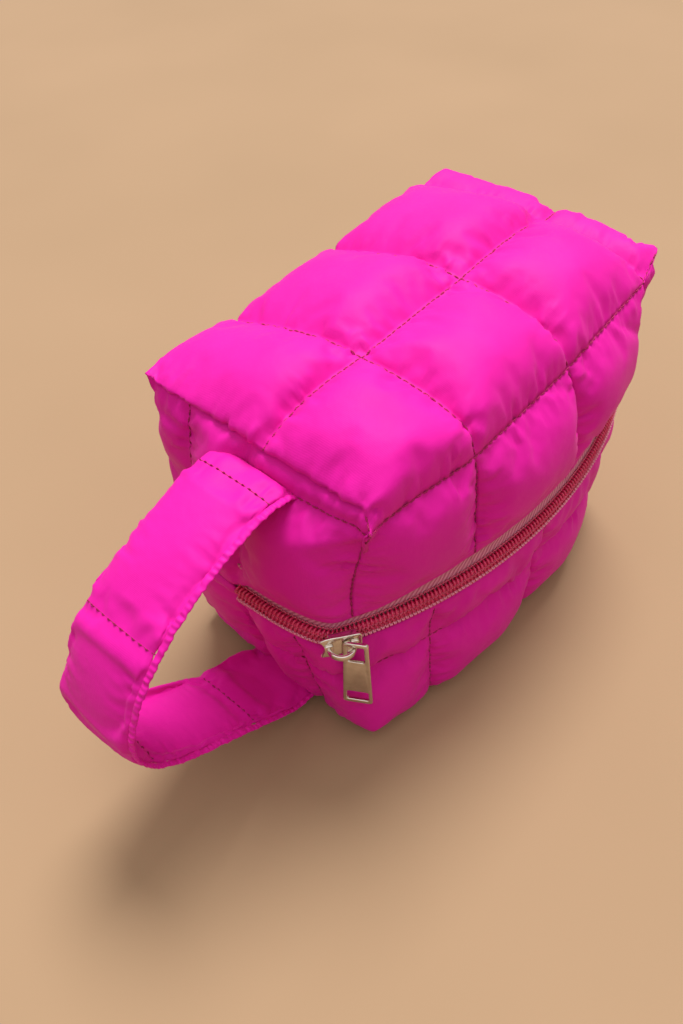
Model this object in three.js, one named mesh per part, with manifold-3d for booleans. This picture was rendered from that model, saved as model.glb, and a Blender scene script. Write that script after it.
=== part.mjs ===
// Quilted makeup bag: a padded nylon box pouch that lies on its back panel, with a carrying loop at one
// end and a coil zip round the long side that faces -Y. Millimetres, +Z up, origin on the resting face.
// +X runs along the zip, away from the loop. The bag is cut from two quilted panels, an upper and a lower
// one, which meet at the zip, at the two end seams and at a seam along the side that faces +Y.
import * as THREE from 'three';
import { mergeVertices } from 'three/addons/utils/BufferGeometryUtils.js';
import Module from 'manifold-3d';

const wasm = await Module();
wasm.setup();

// --- driving dimensions -------------------------------------------------------------------------
const HEIGHT = 126.6;            // lying height, from the resting face to the crown of the top panel
const BOX_END = 70;              // the end seams of the top and bottom panels lie this far out in X
const BOX_SIDE = 46;             // and the long edges this far out in Y
const BULGE_NEAR = 86.5;         // furthest reach of the padded end beside the loop, at zip height
const BULGE_FAR = 82;            // and of the far end
const BULGE_BACK = 49.5;         // furthest reach of the side that faces +Y
const END_SEAM_Y = 2;            // the zip ends here, in the seam down the middle of each end
const CLEARANCE = 0.3;           // gap between pieces that touch

// Each layer has the depths of its two faces below the outer surface, the half-height left open for
// the zip, and the half-length of the mouth's lip, which lifts off the rest.
const LINING_IN = 7.8;
const LAYERS = {
  outer: { front: 0, back: 1.2, band: 6, lip: 68 },
  wadding: { front: 1.6, back: 6.6, band: 10.5, lip: 56 },
  lining: { front: 7.0, back: LINING_IN, band: 8, lip: 56 },
};

const ZIP_Z = 63;                // height of the zip's centreline
const ZIP_RADIUS = 177.4;        // the long side bows out on this radius
const ZIP_CENTRE = new THREE.Vector2(10.4, 118.2);
const ZIP_START = -120.5;        // degrees: the bow starts beside the loop
const ZIP_END = -67;             // and ends at the far corner
const ZIP_GAP = 0.6;             // half the gap between the two rows of coil
const COIL_WIDTH = 2.8;
const COIL_FRONT = -0.4;         // the coil stands this far out of the fabric's surface
const TAPE_FRONT = 3.0;
const TAPE_BACK = 3.5;
const TAPE_WIDTH = 8.5;

const HINGE_Z = 114;             // the mouth's lip folds along the quilting line at this height
const LIP_DEPTH = -25;           // the lip is cut out of what lies in front of this

const HANDLE_Y = -3;             // the loop's middle
const HANDLE_WIDTH = 28;
const HANDLE_THICK = 9;
const HANDLE_SKIN = 0.9;
const STRAP_ROUTE = [            // (x, z) of the strap's middle, from its top end to its bottom end
  [-76.6, 118.4], [-84, 117.4], [-94, 115], [-105, 111.5], [-115, 106.5], [-125, 99.5], [-134, 89],
  [-140, 79], [-143, 69], [-141, 58.5], [-135, 49], [-127, 40.5], [-118, 33], [-107, 23.5],
  [-94, 13], [-86.6, 7.6],
];
const SWIVEL_X = -90;            // the loop swings about the upright line through here
const NECK_HALF = 8;             // half-width of the sewn ends on the bag's side of that line

const SLIDER_ANGLE = -119.6;     // degrees round the zip's bow, with the zip closed
const SLIDER_TURN = -36.5;       // degrees: the slider's direction at that place
const SLIDER_LENGTH = 13.4;
const SLIDER_MOUTH = 10.6;       // width at the end where the rows part
const SLIDER_TAIL = 9;
const PLATE = 1.1;
const FRONT_PLATE = -2.0;        // depth of the front plate's inner face
const BACK_PLATE = 5.4;
const BAIL_LENGTH = 10;
const BAIL_RISE = 5;
const BAIL_WIRE = 1.25;
const BAIL_WIDTH = 2.4;
const POST_LENGTH = 2.8;         // the post that parts the two rows of coil
const FLANGE_IN = 3.8;           // the front plate's edges turn in over the coil this far from the middle
const FLANGE_THICK = 0.6;
const FLANGE_DEPTH = 1;

const PULLER_LENGTH = 38;
const PULLER_TOP = 9.6;
const PULLER_BOTTOM = 12;
const PULLER_THICK = 1.3;
const PULLER_PIVOT_X = 3.95;     // it hangs on the bail's leg
const PULLER_DEPTH = -5.1;       // middle of its thickness, in front of the zip
const PULLER_TOP_Z = 3.7;        // its top edge, above the zip's centreline
const UPPER_WINDOW = { top: 1.9, bottom: -7.2, topWidth: 6.2, bottomWidth: 6.6 };
const LOWER_WINDOW = { top: -27.1, bottom: -32.1, topWidth: 7.6, bottomWidth: 8.4 };

// --- materials ----------------------------------------------------------------------------------
const material = (color, roughness, metalness = 0) =>
  new THREE.MeshStandardMaterial({ color, roughness, metalness });
const nylon = material(0xe0108f, 0.45);
const padding = material(0xf2f0ee, 0.95);
const liningCloth = material(0xc40f7c, 0.6);
const tapeCloth = material(0xb8556e, 0.8);
const coilNylon = material(0x96193c, 0.4);
const thread = material(0xd76e96, 0.7);
const nickel = material(0xb9b2a8, 0.22, 1);
const bindingCloth = material(0xa30c66, 0.7);

// --- helpers ------------------------------------------------------------------------------------
const radians = THREE.MathUtils.degToRad;

function toSolid(geometry) {
  const bare = geometry.clone();
  bare.deleteAttribute('normal');
  bare.deleteAttribute('uv');
  const merged = mergeVertices(bare, 1e-4);
  const vertProperties = new Float32Array(merged.attributes.position.array);
  const triVerts = new Uint32Array(merged.index.array);
  return new wasm.Manifold(new wasm.Mesh({ numProp: 3, vertProperties, triVerts }));
}

function toGeometry(solid) {
  const mesh = solid.getMesh();
  const geometry = new THREE.BufferGeometry();
  geometry.setAttribute('position', new THREE.BufferAttribute(new Float32Array(mesh.vertProperties), 3));
  geometry.setIndex(new THREE.BufferAttribute(new Uint32Array(mesh.triVerts), 1));
  geometry.computeVertexNormals();
  return geometry;
}

function boxBetween(low, high) {
  const geometry = new THREE.BoxGeometry(high[0] - low[0], high[1] - low[1], high[2] - low[2]);
  geometry.translate((low[0] + high[0]) / 2, (low[1] + high[1]) / 2, (low[2] + high[2]) / 2);
  return geometry;
}

const boxSolid = (low, high) => toSolid(boxBetween(low, high));

function part(name, geometry, look) {
  const mesh = new THREE.Mesh(geometry, look);
  mesh.name = name;
  return mesh;
}

// --- the bag's body -----------------------------------------------------------------------------
const point = (x, y) => new THREE.Vector2(x, y);
const bend = (a, b, c) => new THREE.QuadraticBezierCurve(point(...a), point(...b), point(...c));
const line = (a, b) => new THREE.LineCurve(point(...a), point(...b));

const zipBow = new THREE.EllipseCurve(
  ZIP_CENTRE.x, ZIP_CENTRE.y, ZIP_RADIUS, ZIP_RADIUS, radians(ZIP_START), radians(ZIP_END));
const bowStart = zipBow.getPoint(0);
const bowEnd = zipBow.getPoint(1);

// The outline at zip height, and the boxier one at the top panel's seams, run the same way round:
// from the near end's seam, along the zip, to the far end's seam and back along the +Y side.
const zipOutline = [
  bend([-BULGE_NEAR, END_SEAM_Y], [-86, -28.5], [bowStart.x, bowStart.y]),
  zipBow,
  bend([bowEnd.x, bowEnd.y], [BULGE_FAR + 4, -41], [BULGE_FAR, END_SEAM_Y]),
  bend([BULGE_FAR, END_SEAM_Y], [BULGE_FAR - 1, 45], [48, BULGE_BACK - 1]),
  bend([48, BULGE_BACK - 1], [0, BULGE_BACK + 1], [-48, BULGE_BACK - 1]),
  bend([-48, BULGE_BACK - 1], [-BULGE_NEAR + 1, 46], [-BULGE_NEAR, END_SEAM_Y]),
];
const boxOutline = [
  bend([-BOX_END, END_SEAM_Y], [-BOX_END - 1, -BOX_SIDE + 1], [-62, -BOX_SIDE + 0.5]),
  bend([-62, -BOX_SIDE + 0.5], [0, -BOX_SIDE - 2], [62, -BOX_SIDE + 0.5]),
  bend([62, -BOX_SIDE + 0.5], [BOX_END + 1, -BOX_SIDE + 1], [BOX_END, END_SEAM_Y]),
  bend([BOX_END, END_SEAM_Y], [BOX_END + 1, BOX_SIDE], [48, BOX_SIDE]),
  line([48, BOX_SIDE], [-48, BOX_SIDE]),
  bend([-48, BOX_SIDE], [-BOX_END - 1, BOX_SIDE], [-BOX_END, END_SEAM_Y]),
];
const STEPS = [4, 9, 4, 5, 5, 5];                  // how finely each stretch is divided
const AROUND = STEPS.reduce((sum, n) => sum + n, 0);

// Heights down the bag: z, how much of the outline is the zip's, and how far it has closed in.
const LEVELS = [
  [126.6, 0, 0], [126.4, 0, 0.55], [124.6, 0, 0.86], [120.5, 0.02, 1], [114, 0.25, 1], [101, 0.6, 1],
  [84, 0.88, 1], [63, 1, 1], [42, 1, 1], [20, 0.92, 1], [6, 0.75, 1], [0, 0.45, 0.96], [0, 0.45, 0],
];
const POLE = point(4, 3);                          // the middle of the top and bottom panels

function outlinePoint(turn, blend) {
  let left = Math.round(turn * AROUND) % AROUND;
  let stretch = 0;
  while (left >= STEPS[stretch]) {
    left -= STEPS[stretch];
    stretch += 1;
  }
  const t = left / STEPS[stretch];
  return boxOutline[stretch].getPoint(t).lerp(zipOutline[stretch].getPoint(t), blend);
}

// A closed skin that lies a given depth below the bag's outer surface.
function bagSkin(depth) {
  const geometry = new THREE.SphereGeometry(1, AROUND, LEVELS.length - 1);
  const { position, uv } = geometry.attributes;
  for (let i = 0; i < position.count; i += 1) {
    const [z, blend, spread] = LEVELS[Math.round((1 - uv.getY(i)) * (LEVELS.length - 1))];
    const edge = spread === 0 ? POLE : outlinePoint(uv.getX(i), blend);
    const p = POLE.clone().lerp(edge, spread);
    const x = p.x * (1 - depth / BULGE_NEAR);
    const y = p.y * (1 - depth / (BULGE_BACK + 3));
    position.setXYZ(i, x, y, depth + (z * (HEIGHT - 2 * depth)) / HEIGHT);
  }
  return toSolid(geometry);
}

const FAR_OUT = 200;

// One layer of the bag, as its upper half, its lower half and the lip that lifts off the upper half.
function bagLayer({ front, back, band, lip }) {
  const shell = bagSkin(front).subtract(bagSkin(back));
  const half = CLEARANCE / 2;
  const upperHalf = boxSolid([-FAR_OUT, -FAR_OUT, ZIP_Z + half], [FAR_OUT, FAR_OUT, FAR_OUT]);
  const lowerHalf = boxSolid([-FAR_OUT, -FAR_OUT, -1], [FAR_OUT, FAR_OUT, ZIP_Z - half]);
  const zipBand = boxSolid([-FAR_OUT, -FAR_OUT, ZIP_Z - band], [FAR_OUT, END_SEAM_Y, ZIP_Z + band]);
  const lipRoom = boxSolid(
    [-lip - CLEARANCE, -FAR_OUT, ZIP_Z], [lip + CLEARANCE, LIP_DEPTH, HINGE_Z + CLEARANCE]);
  const lipBlock = boxSolid([-lip, -FAR_OUT, ZIP_Z + band], [lip, LIP_DEPTH, HINGE_Z]);
  return {
    upper: toGeometry(shell.intersect(upperHalf).subtract(zipBand).subtract(lipRoom)),
    lower: toGeometry(shell.intersect(lowerHalf).subtract(zipBand)),
    lip: toGeometry(shell.intersect(lipBlock)),
  };
}

// --- the zip ------------------------------------------------------------------------------------
const ZIP_STRETCHES = [[zipOutline[0], 5], [zipOutline[1], 16], [zipOutline[2], 5]];
const END_MARGIN = 0.04;         // share of the end stretches left free at the end seams

function zipRoute() {
  const points = [];
  for (const [index, [curve, count]] of ZIP_STRETCHES.entries()) {
    for (let i = index === 0 ? 0 : 1; i <= count; i += 1) {
      let t = i / count;
      if (index === 0 && i === 0) t = END_MARGIN;
      if (index === ZIP_STRETCHES.length - 1 && i === count) t = 1 - END_MARGIN;
      const at = curve.getPoint(t);
      const along = curve.getTangent(t);
      points.push({ at, inward: point(-along.y, along.x) });
    }
  }
  return points;
}

// An upright strip that follows the zip between two depths and two heights.
function zipStrip(front, back, low, high) {
  const route = zipRoute();
  const side = (depth) => route.map((r) => r.at.clone().addScaledVector(r.inward, depth));
  const outline = new THREE.Shape([...side(front), ...side(back).reverse()]);
  const geometry = new THREE.ExtrudeGeometry(outline, { depth: high - low, bevelEnabled: false });
  return geometry.translate(0, 0, low);
}

function zipParts() {
  const coilBack = TAPE_FRONT - CLEARANCE;
  const rise = ZIP_GAP + COIL_WIDTH;
  const stitchFront = COIL_FRONT - 0.5;
  const stitchBack = COIL_FRONT - CLEARANCE;
  const strips = [
    ['zip_tape', TAPE_FRONT, TAPE_BACK, ZIP_GAP, ZIP_GAP + TAPE_WIDTH, tapeCloth],
    ['zip_coil', COIL_FRONT, coilBack, ZIP_GAP, rise, coilNylon],
    ['coil_stitching', stitchFront, stitchBack, rise - 1.6, rise - 1.1, thread],
  ];
  const upper = new THREE.Group();
  const lower = new THREE.Group();
  for (const [name, front, back, near, far, look] of strips) {
    upper.add(part(`${name}_upper`, zipStrip(front, back, ZIP_Z + near, ZIP_Z + far), look));
    lower.add(part(`${name}_lower`, zipStrip(front, back, ZIP_Z - far, ZIP_Z - near), look));
  }
  return { upper, lower };
}

// Slider pieces are drawn in the slider's own frame: +X towards the closed zip, -Y out of the bag.
function platePiece(depth, thickness) {
  const half = SLIDER_LENGTH / 2;
  const mouth = SLIDER_MOUTH / 2;
  const tail = SLIDER_TAIL / 2;
  const outline = new THREE.Shape();
  outline.moveTo(-half, -mouth * 0.8);
  outline.quadraticCurveTo(-half * 0.7, -mouth, 0, -tail - 0.2);
  outline.lineTo(half - 1.5, -tail);
  outline.quadraticCurveTo(half, -tail, half, -tail + 1.5);
  outline.lineTo(half, tail - 1.5);
  outline.quadraticCurveTo(half, tail, half - 1.5, tail);
  outline.lineTo(0, tail + 0.2);
  outline.quadraticCurveTo(-half * 0.7, mouth, -half, mouth * 0.8);
  outline.lineTo(-half + 1.6, 0);
  const geometry = new THREE.ExtrudeGeometry(
    outline, { depth: thickness, bevelEnabled: false, curveSegments: 4 });
  return geometry.rotateX(Math.PI / 2).translate(0, depth, 0);
}

function bailArch() {
  const outline = new THREE.Shape();
  const outer = BAIL_LENGTH / 2;
  const foot = -FRONT_PLATE + PLATE - 0.3;
  outline.absellipse(0, foot, outer, BAIL_RISE + 0.3, 0, Math.PI, false);
  outline.lineTo(-outer + BAIL_WIRE, foot);
  outline.absellipse(0, foot, outer - BAIL_WIRE, BAIL_RISE + 0.3 - BAIL_WIRE, Math.PI, 0, true);
  const geometry = new THREE.ExtrudeGeometry(
    outline, { depth: BAIL_WIDTH, bevelEnabled: false, curveSegments: 10 });
  return geometry.rotateX(Math.PI).translate(0, 0, BAIL_WIDTH / 2);
}

function sliderBody() {
  const half = SLIDER_LENGTH / 2;
  const frontFace = FRONT_PLATE - PLATE;
  const sink = 0.3;              // how far joined pieces run into each other
  let solid = toSolid(platePiece(FRONT_PLATE, PLATE));
  solid = solid.add(toSolid(platePiece(BACK_PLATE + PLATE, PLATE)));
  const postStart = -half + 1.2;
  solid = solid.add(boxSolid(
    [postStart, frontFace + sink, -CLEARANCE], [postStart + POST_LENGTH, BACK_PLATE + sink, CLEARANCE]));
  for (const low of [-FLANGE_IN - FLANGE_THICK, FLANGE_IN]) {
    solid = solid.add(boxSolid(
      [-half + 3, FRONT_PLATE - sink, low], [half - 1.5, FRONT_PLATE + FLANGE_DEPTH, low + FLANGE_THICK]));
  }
  return toGeometry(solid.add(toSolid(bailArch())));
}

function trapezoid({ top, bottom, topWidth, bottomWidth }) {
  const outline = [[-bottomWidth, bottom], [bottomWidth, bottom], [topWidth, top], [-topWidth, top]];
  return outline.map(([x, z]) => point(PULLER_PIVOT_X + x / 2, z));
}

// The puller hangs on the bail's leg by its upper window, which the leg passes through.
function pullerPlate() {
  const bottom = PULLER_TOP_Z - PULLER_LENGTH;
  const plate = { top: PULLER_TOP_Z, bottom, topWidth: PULLER_TOP, bottomWidth: PULLER_BOTTOM };
  const outline = new THREE.Shape(trapezoid(plate));
  outline.holes.push(new THREE.Path(trapezoid(UPPER_WINDOW).reverse()));
  outline.holes.push(new THREE.Path(trapezoid(LOWER_WINDOW).reverse()));
  const geometry = new THREE.ExtrudeGeometry(outline, { depth: PULLER_THICK, bevelEnabled: false });
  return geometry.rotateX(Math.PI / 2).translate(0, PULLER_DEPTH + PULLER_THICK / 2, 0);
}

function sliderGroup() {
  const group = new THREE.Group();
  group.add(part('slider_body', sliderBody(), nickel));
  group.add(part('puller', pullerPlate(), nickel));
  const angle = radians(SLIDER_ANGLE);
  group.position.set(
    ZIP_CENTRE.x + ZIP_RADIUS * Math.cos(angle), ZIP_CENTRE.y + ZIP_RADIUS * Math.sin(angle), ZIP_Z);
  group.rotation.z = radians(SLIDER_TURN);
  return group;
}

// --- the carrying loop --------------------------------------------------------------------------
function strapSection(width, thickness) {
  const [w, t] = [width / 2, thickness / 2];
  const r = t * 0.8;
  const outline = new THREE.Shape();
  outline.moveTo(-w + r, -t);
  outline.lineTo(w - r, -t);
  outline.quadraticCurveTo(w, -t, w, -t + r);
  outline.lineTo(w, t - r);
  outline.quadraticCurveTo(w, t, w - r, t);
  outline.lineTo(-w + r, t);
  outline.quadraticCurveTo(-w, t, -w, t - r);
  outline.lineTo(-w, -t + r);
  outline.quadraticCurveTo(-w, -t, -w + r, -t);
  return outline;
}

function alongRoute(section) {
  const places = STRAP_ROUTE.map(([x, z]) => new THREE.Vector3(x, HANDLE_Y, z));
  const extrudePath = new THREE.CatmullRomCurve3(places, false, 'centripetal');
  return toSolid(new THREE.ExtrudeGeometry(section, { extrudePath, steps: 28, curveSegments: 3 }));
}

const strapInset = (inset) => alongRoute(strapSection(HANDLE_WIDTH - 2 * inset, HANDLE_THICK - 2 * inset));

function swivel(radius) {
  const geometry = new THREE.CylinderGeometry(radius, radius, 3 * HEIGHT, 48);
  return toSolid(geometry.rotateX(Math.PI / 2).translate(SWIVEL_X, HANDLE_Y, 0));
}

// One strap, cut on a round about the line that the loop swings on: its ends stay with the bag.
function strapParts() {
  const radius = HANDLE_WIDTH / 2 + CLEARANCE;
  const bagSide = boxSolid([SWIVEL_X, -FAR_OUT, -FAR_OUT], [FAR_OUT, FAR_OUT, FAR_OUT]);
  const neck = boxSolid(
    [SWIVEL_X, HANDLE_Y - NECK_HALF, -FAR_OUT], [FAR_OUT, HANDLE_Y + NECK_HALF, FAR_OUT]);
  const loopRoom = swivel(radius + CLEARANCE).add(bagSide);
  const strap = strapInset(0);
  const cover = strap.subtract(strapInset(HANDLE_SKIN)).subtract(loopRoom);
  const core = strapInset(HANDLE_SKIN + CLEARANCE).subtract(loopRoom);
  const stubs = strap.intersect(swivel(radius).add(neck));
  const above = boxSolid([-FAR_OUT, -FAR_OUT, ZIP_Z], [FAR_OUT, FAR_OUT, FAR_OUT]);
  const loop = new THREE.Group();
  loop.add(part('handle_cover', toGeometry(cover), nylon));
  loop.add(part('handle_wadding', toGeometry(core), padding));
  const ends = new THREE.Group();
  ends.add(part('handle_end_top', toGeometry(stubs.intersect(above)), nylon));
  ends.add(part('handle_end_bottom', toGeometry(stubs.subtract(above)), nylon));
  return { loop, ends };
}

// --- seam bindings inside the bag ---------------------------------------------------------------
const BINDING_DEPTH = 4;
const BINDING_THICK = 1;
const CORNER_INSET = LINING_IN + 2.6;
const CORNER_REACH = 26;         // half-length of the bindings across the four box seams
const BOTTOM_REACH = 44;         // half-length of the one along the +Y side

function cornerBindings() {
  const group = new THREE.Group();
  const top = HEIGHT - CORNER_INSET - 6;
  const bottom = CORNER_INSET + 1.5;
  for (const [name, side, z] of [
    ['near_top', -1, top], ['far_top', 1, top], ['near_bottom', -1, bottom], ['far_bottom', 1, bottom],
  ]) {
    const geometry = new THREE.BoxGeometry(BINDING_DEPTH, 2 * CORNER_REACH, BINDING_THICK);
    const mesh = part(`binding_${name}`, geometry, bindingCloth);
    mesh.rotation.y = radians(45) * side * Math.sign(z - HEIGHT / 2);
    mesh.position.set(side * (BOX_END - CORNER_INSET), 0, z);
    group.add(mesh);
  }
  return group;
}

// The bindings down the end seams follow the ends' profile just inside the lining.
function endBinding(name, side, bulge) {
  const shrink = (HEIGHT - 2 * LINING_IN) / HEIGHT;
  const profile = (inset) => LEVELS.slice(4, 10).map(([z, blend]) =>
    point(side * (BOX_END + blend * (bulge - BOX_END) - inset), LINING_IN + z * shrink));
  const front = LINING_IN + 1;
  const outline = new THREE.Shape([...profile(front), ...profile(front + BINDING_DEPTH).reverse()]);
  const geometry = new THREE.ExtrudeGeometry(outline, { depth: BINDING_THICK, bevelEnabled: false });
  geometry.rotateX(Math.PI / 2).translate(0, END_SEAM_Y + 2, 0);
  return part(name, geometry, bindingCloth);
}

function bottomBinding() {
  const back = BULGE_BACK - LINING_IN - 2;
  const half = BINDING_THICK / 2;
  const geometry = boxBetween(
    [-BOTTOM_REACH, back - BINDING_DEPTH, ZIP_Z - half], [BOTTOM_REACH, back, ZIP_Z + half]);
  return part('binding_bottom_seam', geometry, bindingCloth);
}

// --- assembly -----------------------------------------------------------------------------------
const group = new THREE.Group();
const layerLooks = { outer: nylon, wadding: padding, lining: liningCloth };
for (const [layer, look] of Object.entries(layerLooks)) {
  for (const [place, geometry] of Object.entries(bagLayer(LAYERS[layer]))) {
    group.add(part(`${layer}_${place}`, geometry, look));
  }
}
const zip = zipParts();
group.add(zip.upper, zip.lower, sliderGroup());
const strap = strapParts();
group.add(strap.loop, strap.ends);
group.add(cornerBindings());
group.add(endBinding('binding_near_end', -1, BULGE_NEAR));
group.add(endBinding('binding_far_end', 1, BULGE_FAR));
group.add(bottomBinding());

export default group;
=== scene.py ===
"""Quilted makeup bag: the looks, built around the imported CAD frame.

Lengths in this script are millimetres until a mesh is made; MM turns them into metres.
The bag's cloth is drawn as grids whose lines are the quilting lines. A cloth simulation then blows
each quilted cell up between its stitches, and the threads, the zip and the metal follow.
"""
import math

import bmesh
import bpy
import numpy as np
from mathutils import Matrix, Vector
from mathutils.kdtree import KDTree


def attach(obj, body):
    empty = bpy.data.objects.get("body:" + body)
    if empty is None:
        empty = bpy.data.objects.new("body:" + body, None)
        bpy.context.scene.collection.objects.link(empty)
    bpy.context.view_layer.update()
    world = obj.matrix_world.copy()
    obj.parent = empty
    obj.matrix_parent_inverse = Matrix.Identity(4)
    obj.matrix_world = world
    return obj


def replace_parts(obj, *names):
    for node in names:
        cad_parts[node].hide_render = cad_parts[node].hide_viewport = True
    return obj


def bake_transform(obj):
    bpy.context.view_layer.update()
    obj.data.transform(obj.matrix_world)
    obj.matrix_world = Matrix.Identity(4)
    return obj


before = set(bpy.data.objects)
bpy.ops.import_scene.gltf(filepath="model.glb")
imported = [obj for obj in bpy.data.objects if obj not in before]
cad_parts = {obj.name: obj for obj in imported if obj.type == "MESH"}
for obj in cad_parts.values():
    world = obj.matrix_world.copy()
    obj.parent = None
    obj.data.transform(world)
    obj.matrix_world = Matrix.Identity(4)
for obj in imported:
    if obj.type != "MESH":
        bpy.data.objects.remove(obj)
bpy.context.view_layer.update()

MM = 0.001

# --- the bag's outline at zip height -------------------------------------------------------------
# The long side bows out on one arc; the ends close in quadratic curves to the end seams.
BOW_CENTRE = np.array([10.4, 118.2])
BOW_RADIUS = 177.4
BOW_START, BOW_END = math.radians(-120.5), math.radians(-67)
NEAR_END, FAR_END, BACK = -86.5, 82.0, 49.5
SEAM_Y = 2.0
ZIP_Z = 63.0
HEIGHT = 126.6


def quadratic(a, b, c, count=60):
    t = np.linspace(0, 1, count)[:, None]
    a, b, c = map(np.asarray, (a, b, c))
    return (1 - t) ** 2 * a + 2 * t * (1 - t) * b + t * t * c


def bow(angle):
    return BOW_CENTRE + BOW_RADIUS * np.stack([np.cos(angle), np.sin(angle)], -1)


class Line:
    """A polyline that is read by its arc length."""

    def __init__(self, points):
        keep = np.r_[True, np.linalg.norm(np.diff(points, axis=0), axis=1) > 1e-6]
        self.points = points[keep]
        steps = np.linalg.norm(np.diff(self.points, axis=0), axis=1)
        self.s = np.r_[0, np.cumsum(steps)]
        self.length = self.s[-1]

    def at(self, s):
        return np.stack([np.interp(s, self.s, self.points[:, k]) for k in range(self.points.shape[1])], -1)

    def tangent(self, s, step=0.5):
        d = self.at(np.minimum(s + step, self.length)) - self.at(np.maximum(s - step, 0))
        return d / np.linalg.norm(d, axis=-1, keepdims=True)

    def inward(self, s):
        """The level direction into the bag, for a line that runs counter-clockwise."""
        t = self.tangent(s, 3.0)
        return np.stack([-t[..., 1], t[..., 0]], -1)

    def nearest(self, x, y):
        return self.s[np.argmin(np.hypot(self.points[:, 0] - x, self.points[:, 1] - y))]


bow_points = bow(np.linspace(BOW_START, BOW_END, 300))
ZIP = Line(np.vstack([
    quadratic((NEAR_END, SEAM_Y), (-86, -28.5), bow_points[0]),
    bow_points,
    quadratic(bow_points[-1], (FAR_END + 4, -41), (FAR_END, SEAM_Y)),
]))
WAIST = Line(np.vstack([
    ZIP.points,
    quadratic((FAR_END, SEAM_Y), (FAR_END - 1, 45), (48, BACK - 1)),
    quadratic((48, BACK - 1), (0, BACK + 1), (-48, BACK - 1)),
    quadratic((-48, BACK - 1), (NEAR_END + 1, 46), (NEAR_END, SEAM_Y)),
]))

# --- mesh helpers --------------------------------------------------------------------------------


def link(name, data):
    """A new object in the scene that holds this data."""
    obj = bpy.data.objects.new(name, data)
    bpy.context.scene.collection.objects.link(obj)
    return obj


def make_object(name, verts, faces, uv=None):
    """A smooth-shaded mesh from millimetre points; uv holds one pair for each corner of each face."""
    mesh = bpy.data.meshes.new(name)
    mesh.from_pydata((np.asarray(verts) * MM).tolist(), [], [list(map(int, f)) for f in faces])
    if uv is not None:
        layer = mesh.uv_layers.new(name="weave")
        layer.data.foreach_set("uv", np.ascontiguousarray(uv, np.float32).ravel())
    mesh.update()
    mesh.shade_smooth()
    return link(name, mesh)


def coords(mesh):
    out = np.zeros(len(mesh.vertices) * 3)
    mesh.vertices.foreach_get("co", out)
    return out.reshape(-1, 3)


def normals(mesh):
    out = np.zeros(len(mesh.vertices) * 3, np.float32)
    mesh.vertex_normals.foreach_get("vector", out)
    return out.reshape(-1, 3).astype(float)


def set_coords(mesh, co):
    mesh.vertices.foreach_set("co", np.ascontiguousarray(co).ravel())
    mesh.update()


def corners(grid):
    """The four corners of each cell of a grid of values, in the order that its faces use."""
    cells = np.stack([grid[:-1, :-1], grid[:-1, 1:], grid[1:, 1:], grid[1:, :-1]], 2)
    return cells.reshape(-1, 4, *grid.shape[2:])


def sheet(name, grid, uv, flip=False):
    """A mesh over a grid of points, which closes round where uv has one column more than the grid."""
    rows, columns = grid.shape[:2]
    index = np.arange(rows * columns).reshape(rows, columns)
    if uv.shape[1] > columns:
        index = np.hstack([index, index[:, :1]])
    order = -1 if flip else 1
    faces, uvs = corners(index)[:, ::order], corners(uv)[:, ::order]
    return make_object(name, grid.reshape(-1, 3), faces, uvs), index


def apply_modifiers(obj):
    graph = bpy.context.evaluated_depsgraph_get()
    mesh = bpy.data.meshes.new_from_object(obj.evaluated_get(graph))
    old, obj.data = obj.data, mesh
    obj.modifiers.clear()
    bpy.data.meshes.remove(old)
    return obj


def thicken(obj, thickness, offset=-1):
    mod = obj.modifiers.new("thickness", "SOLIDIFY")
    mod.thickness = thickness * MM
    mod.offset = offset
    return apply_modifiers(obj)


def finish_piece(obj, material, slot_name, *nodes):
    obj.data.materials.clear()
    obj.data.materials.append(material)
    obj.data.polygons.foreach_set("material_index", np.zeros(len(obj.data.polygons), np.int32))
    if nodes:
        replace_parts(obj, *nodes)
    return obj


def smooth01(t):
    t = np.clip(t, 0, 1)
    return t * t * (3 - 2 * t)


def ripple(s, wavelengths, seed):
    """A wandering wave along a length, between about -1 and 1."""
    phases = np.random.default_rng(seed).uniform(0, 2 * math.pi, len(wavelengths))
    return sum(np.sin(2 * math.pi * s / w + p) for w, p in zip(wavelengths, phases)) / len(wavelengths)


# --- materials -----------------------------------------------------------------------------------


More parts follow.
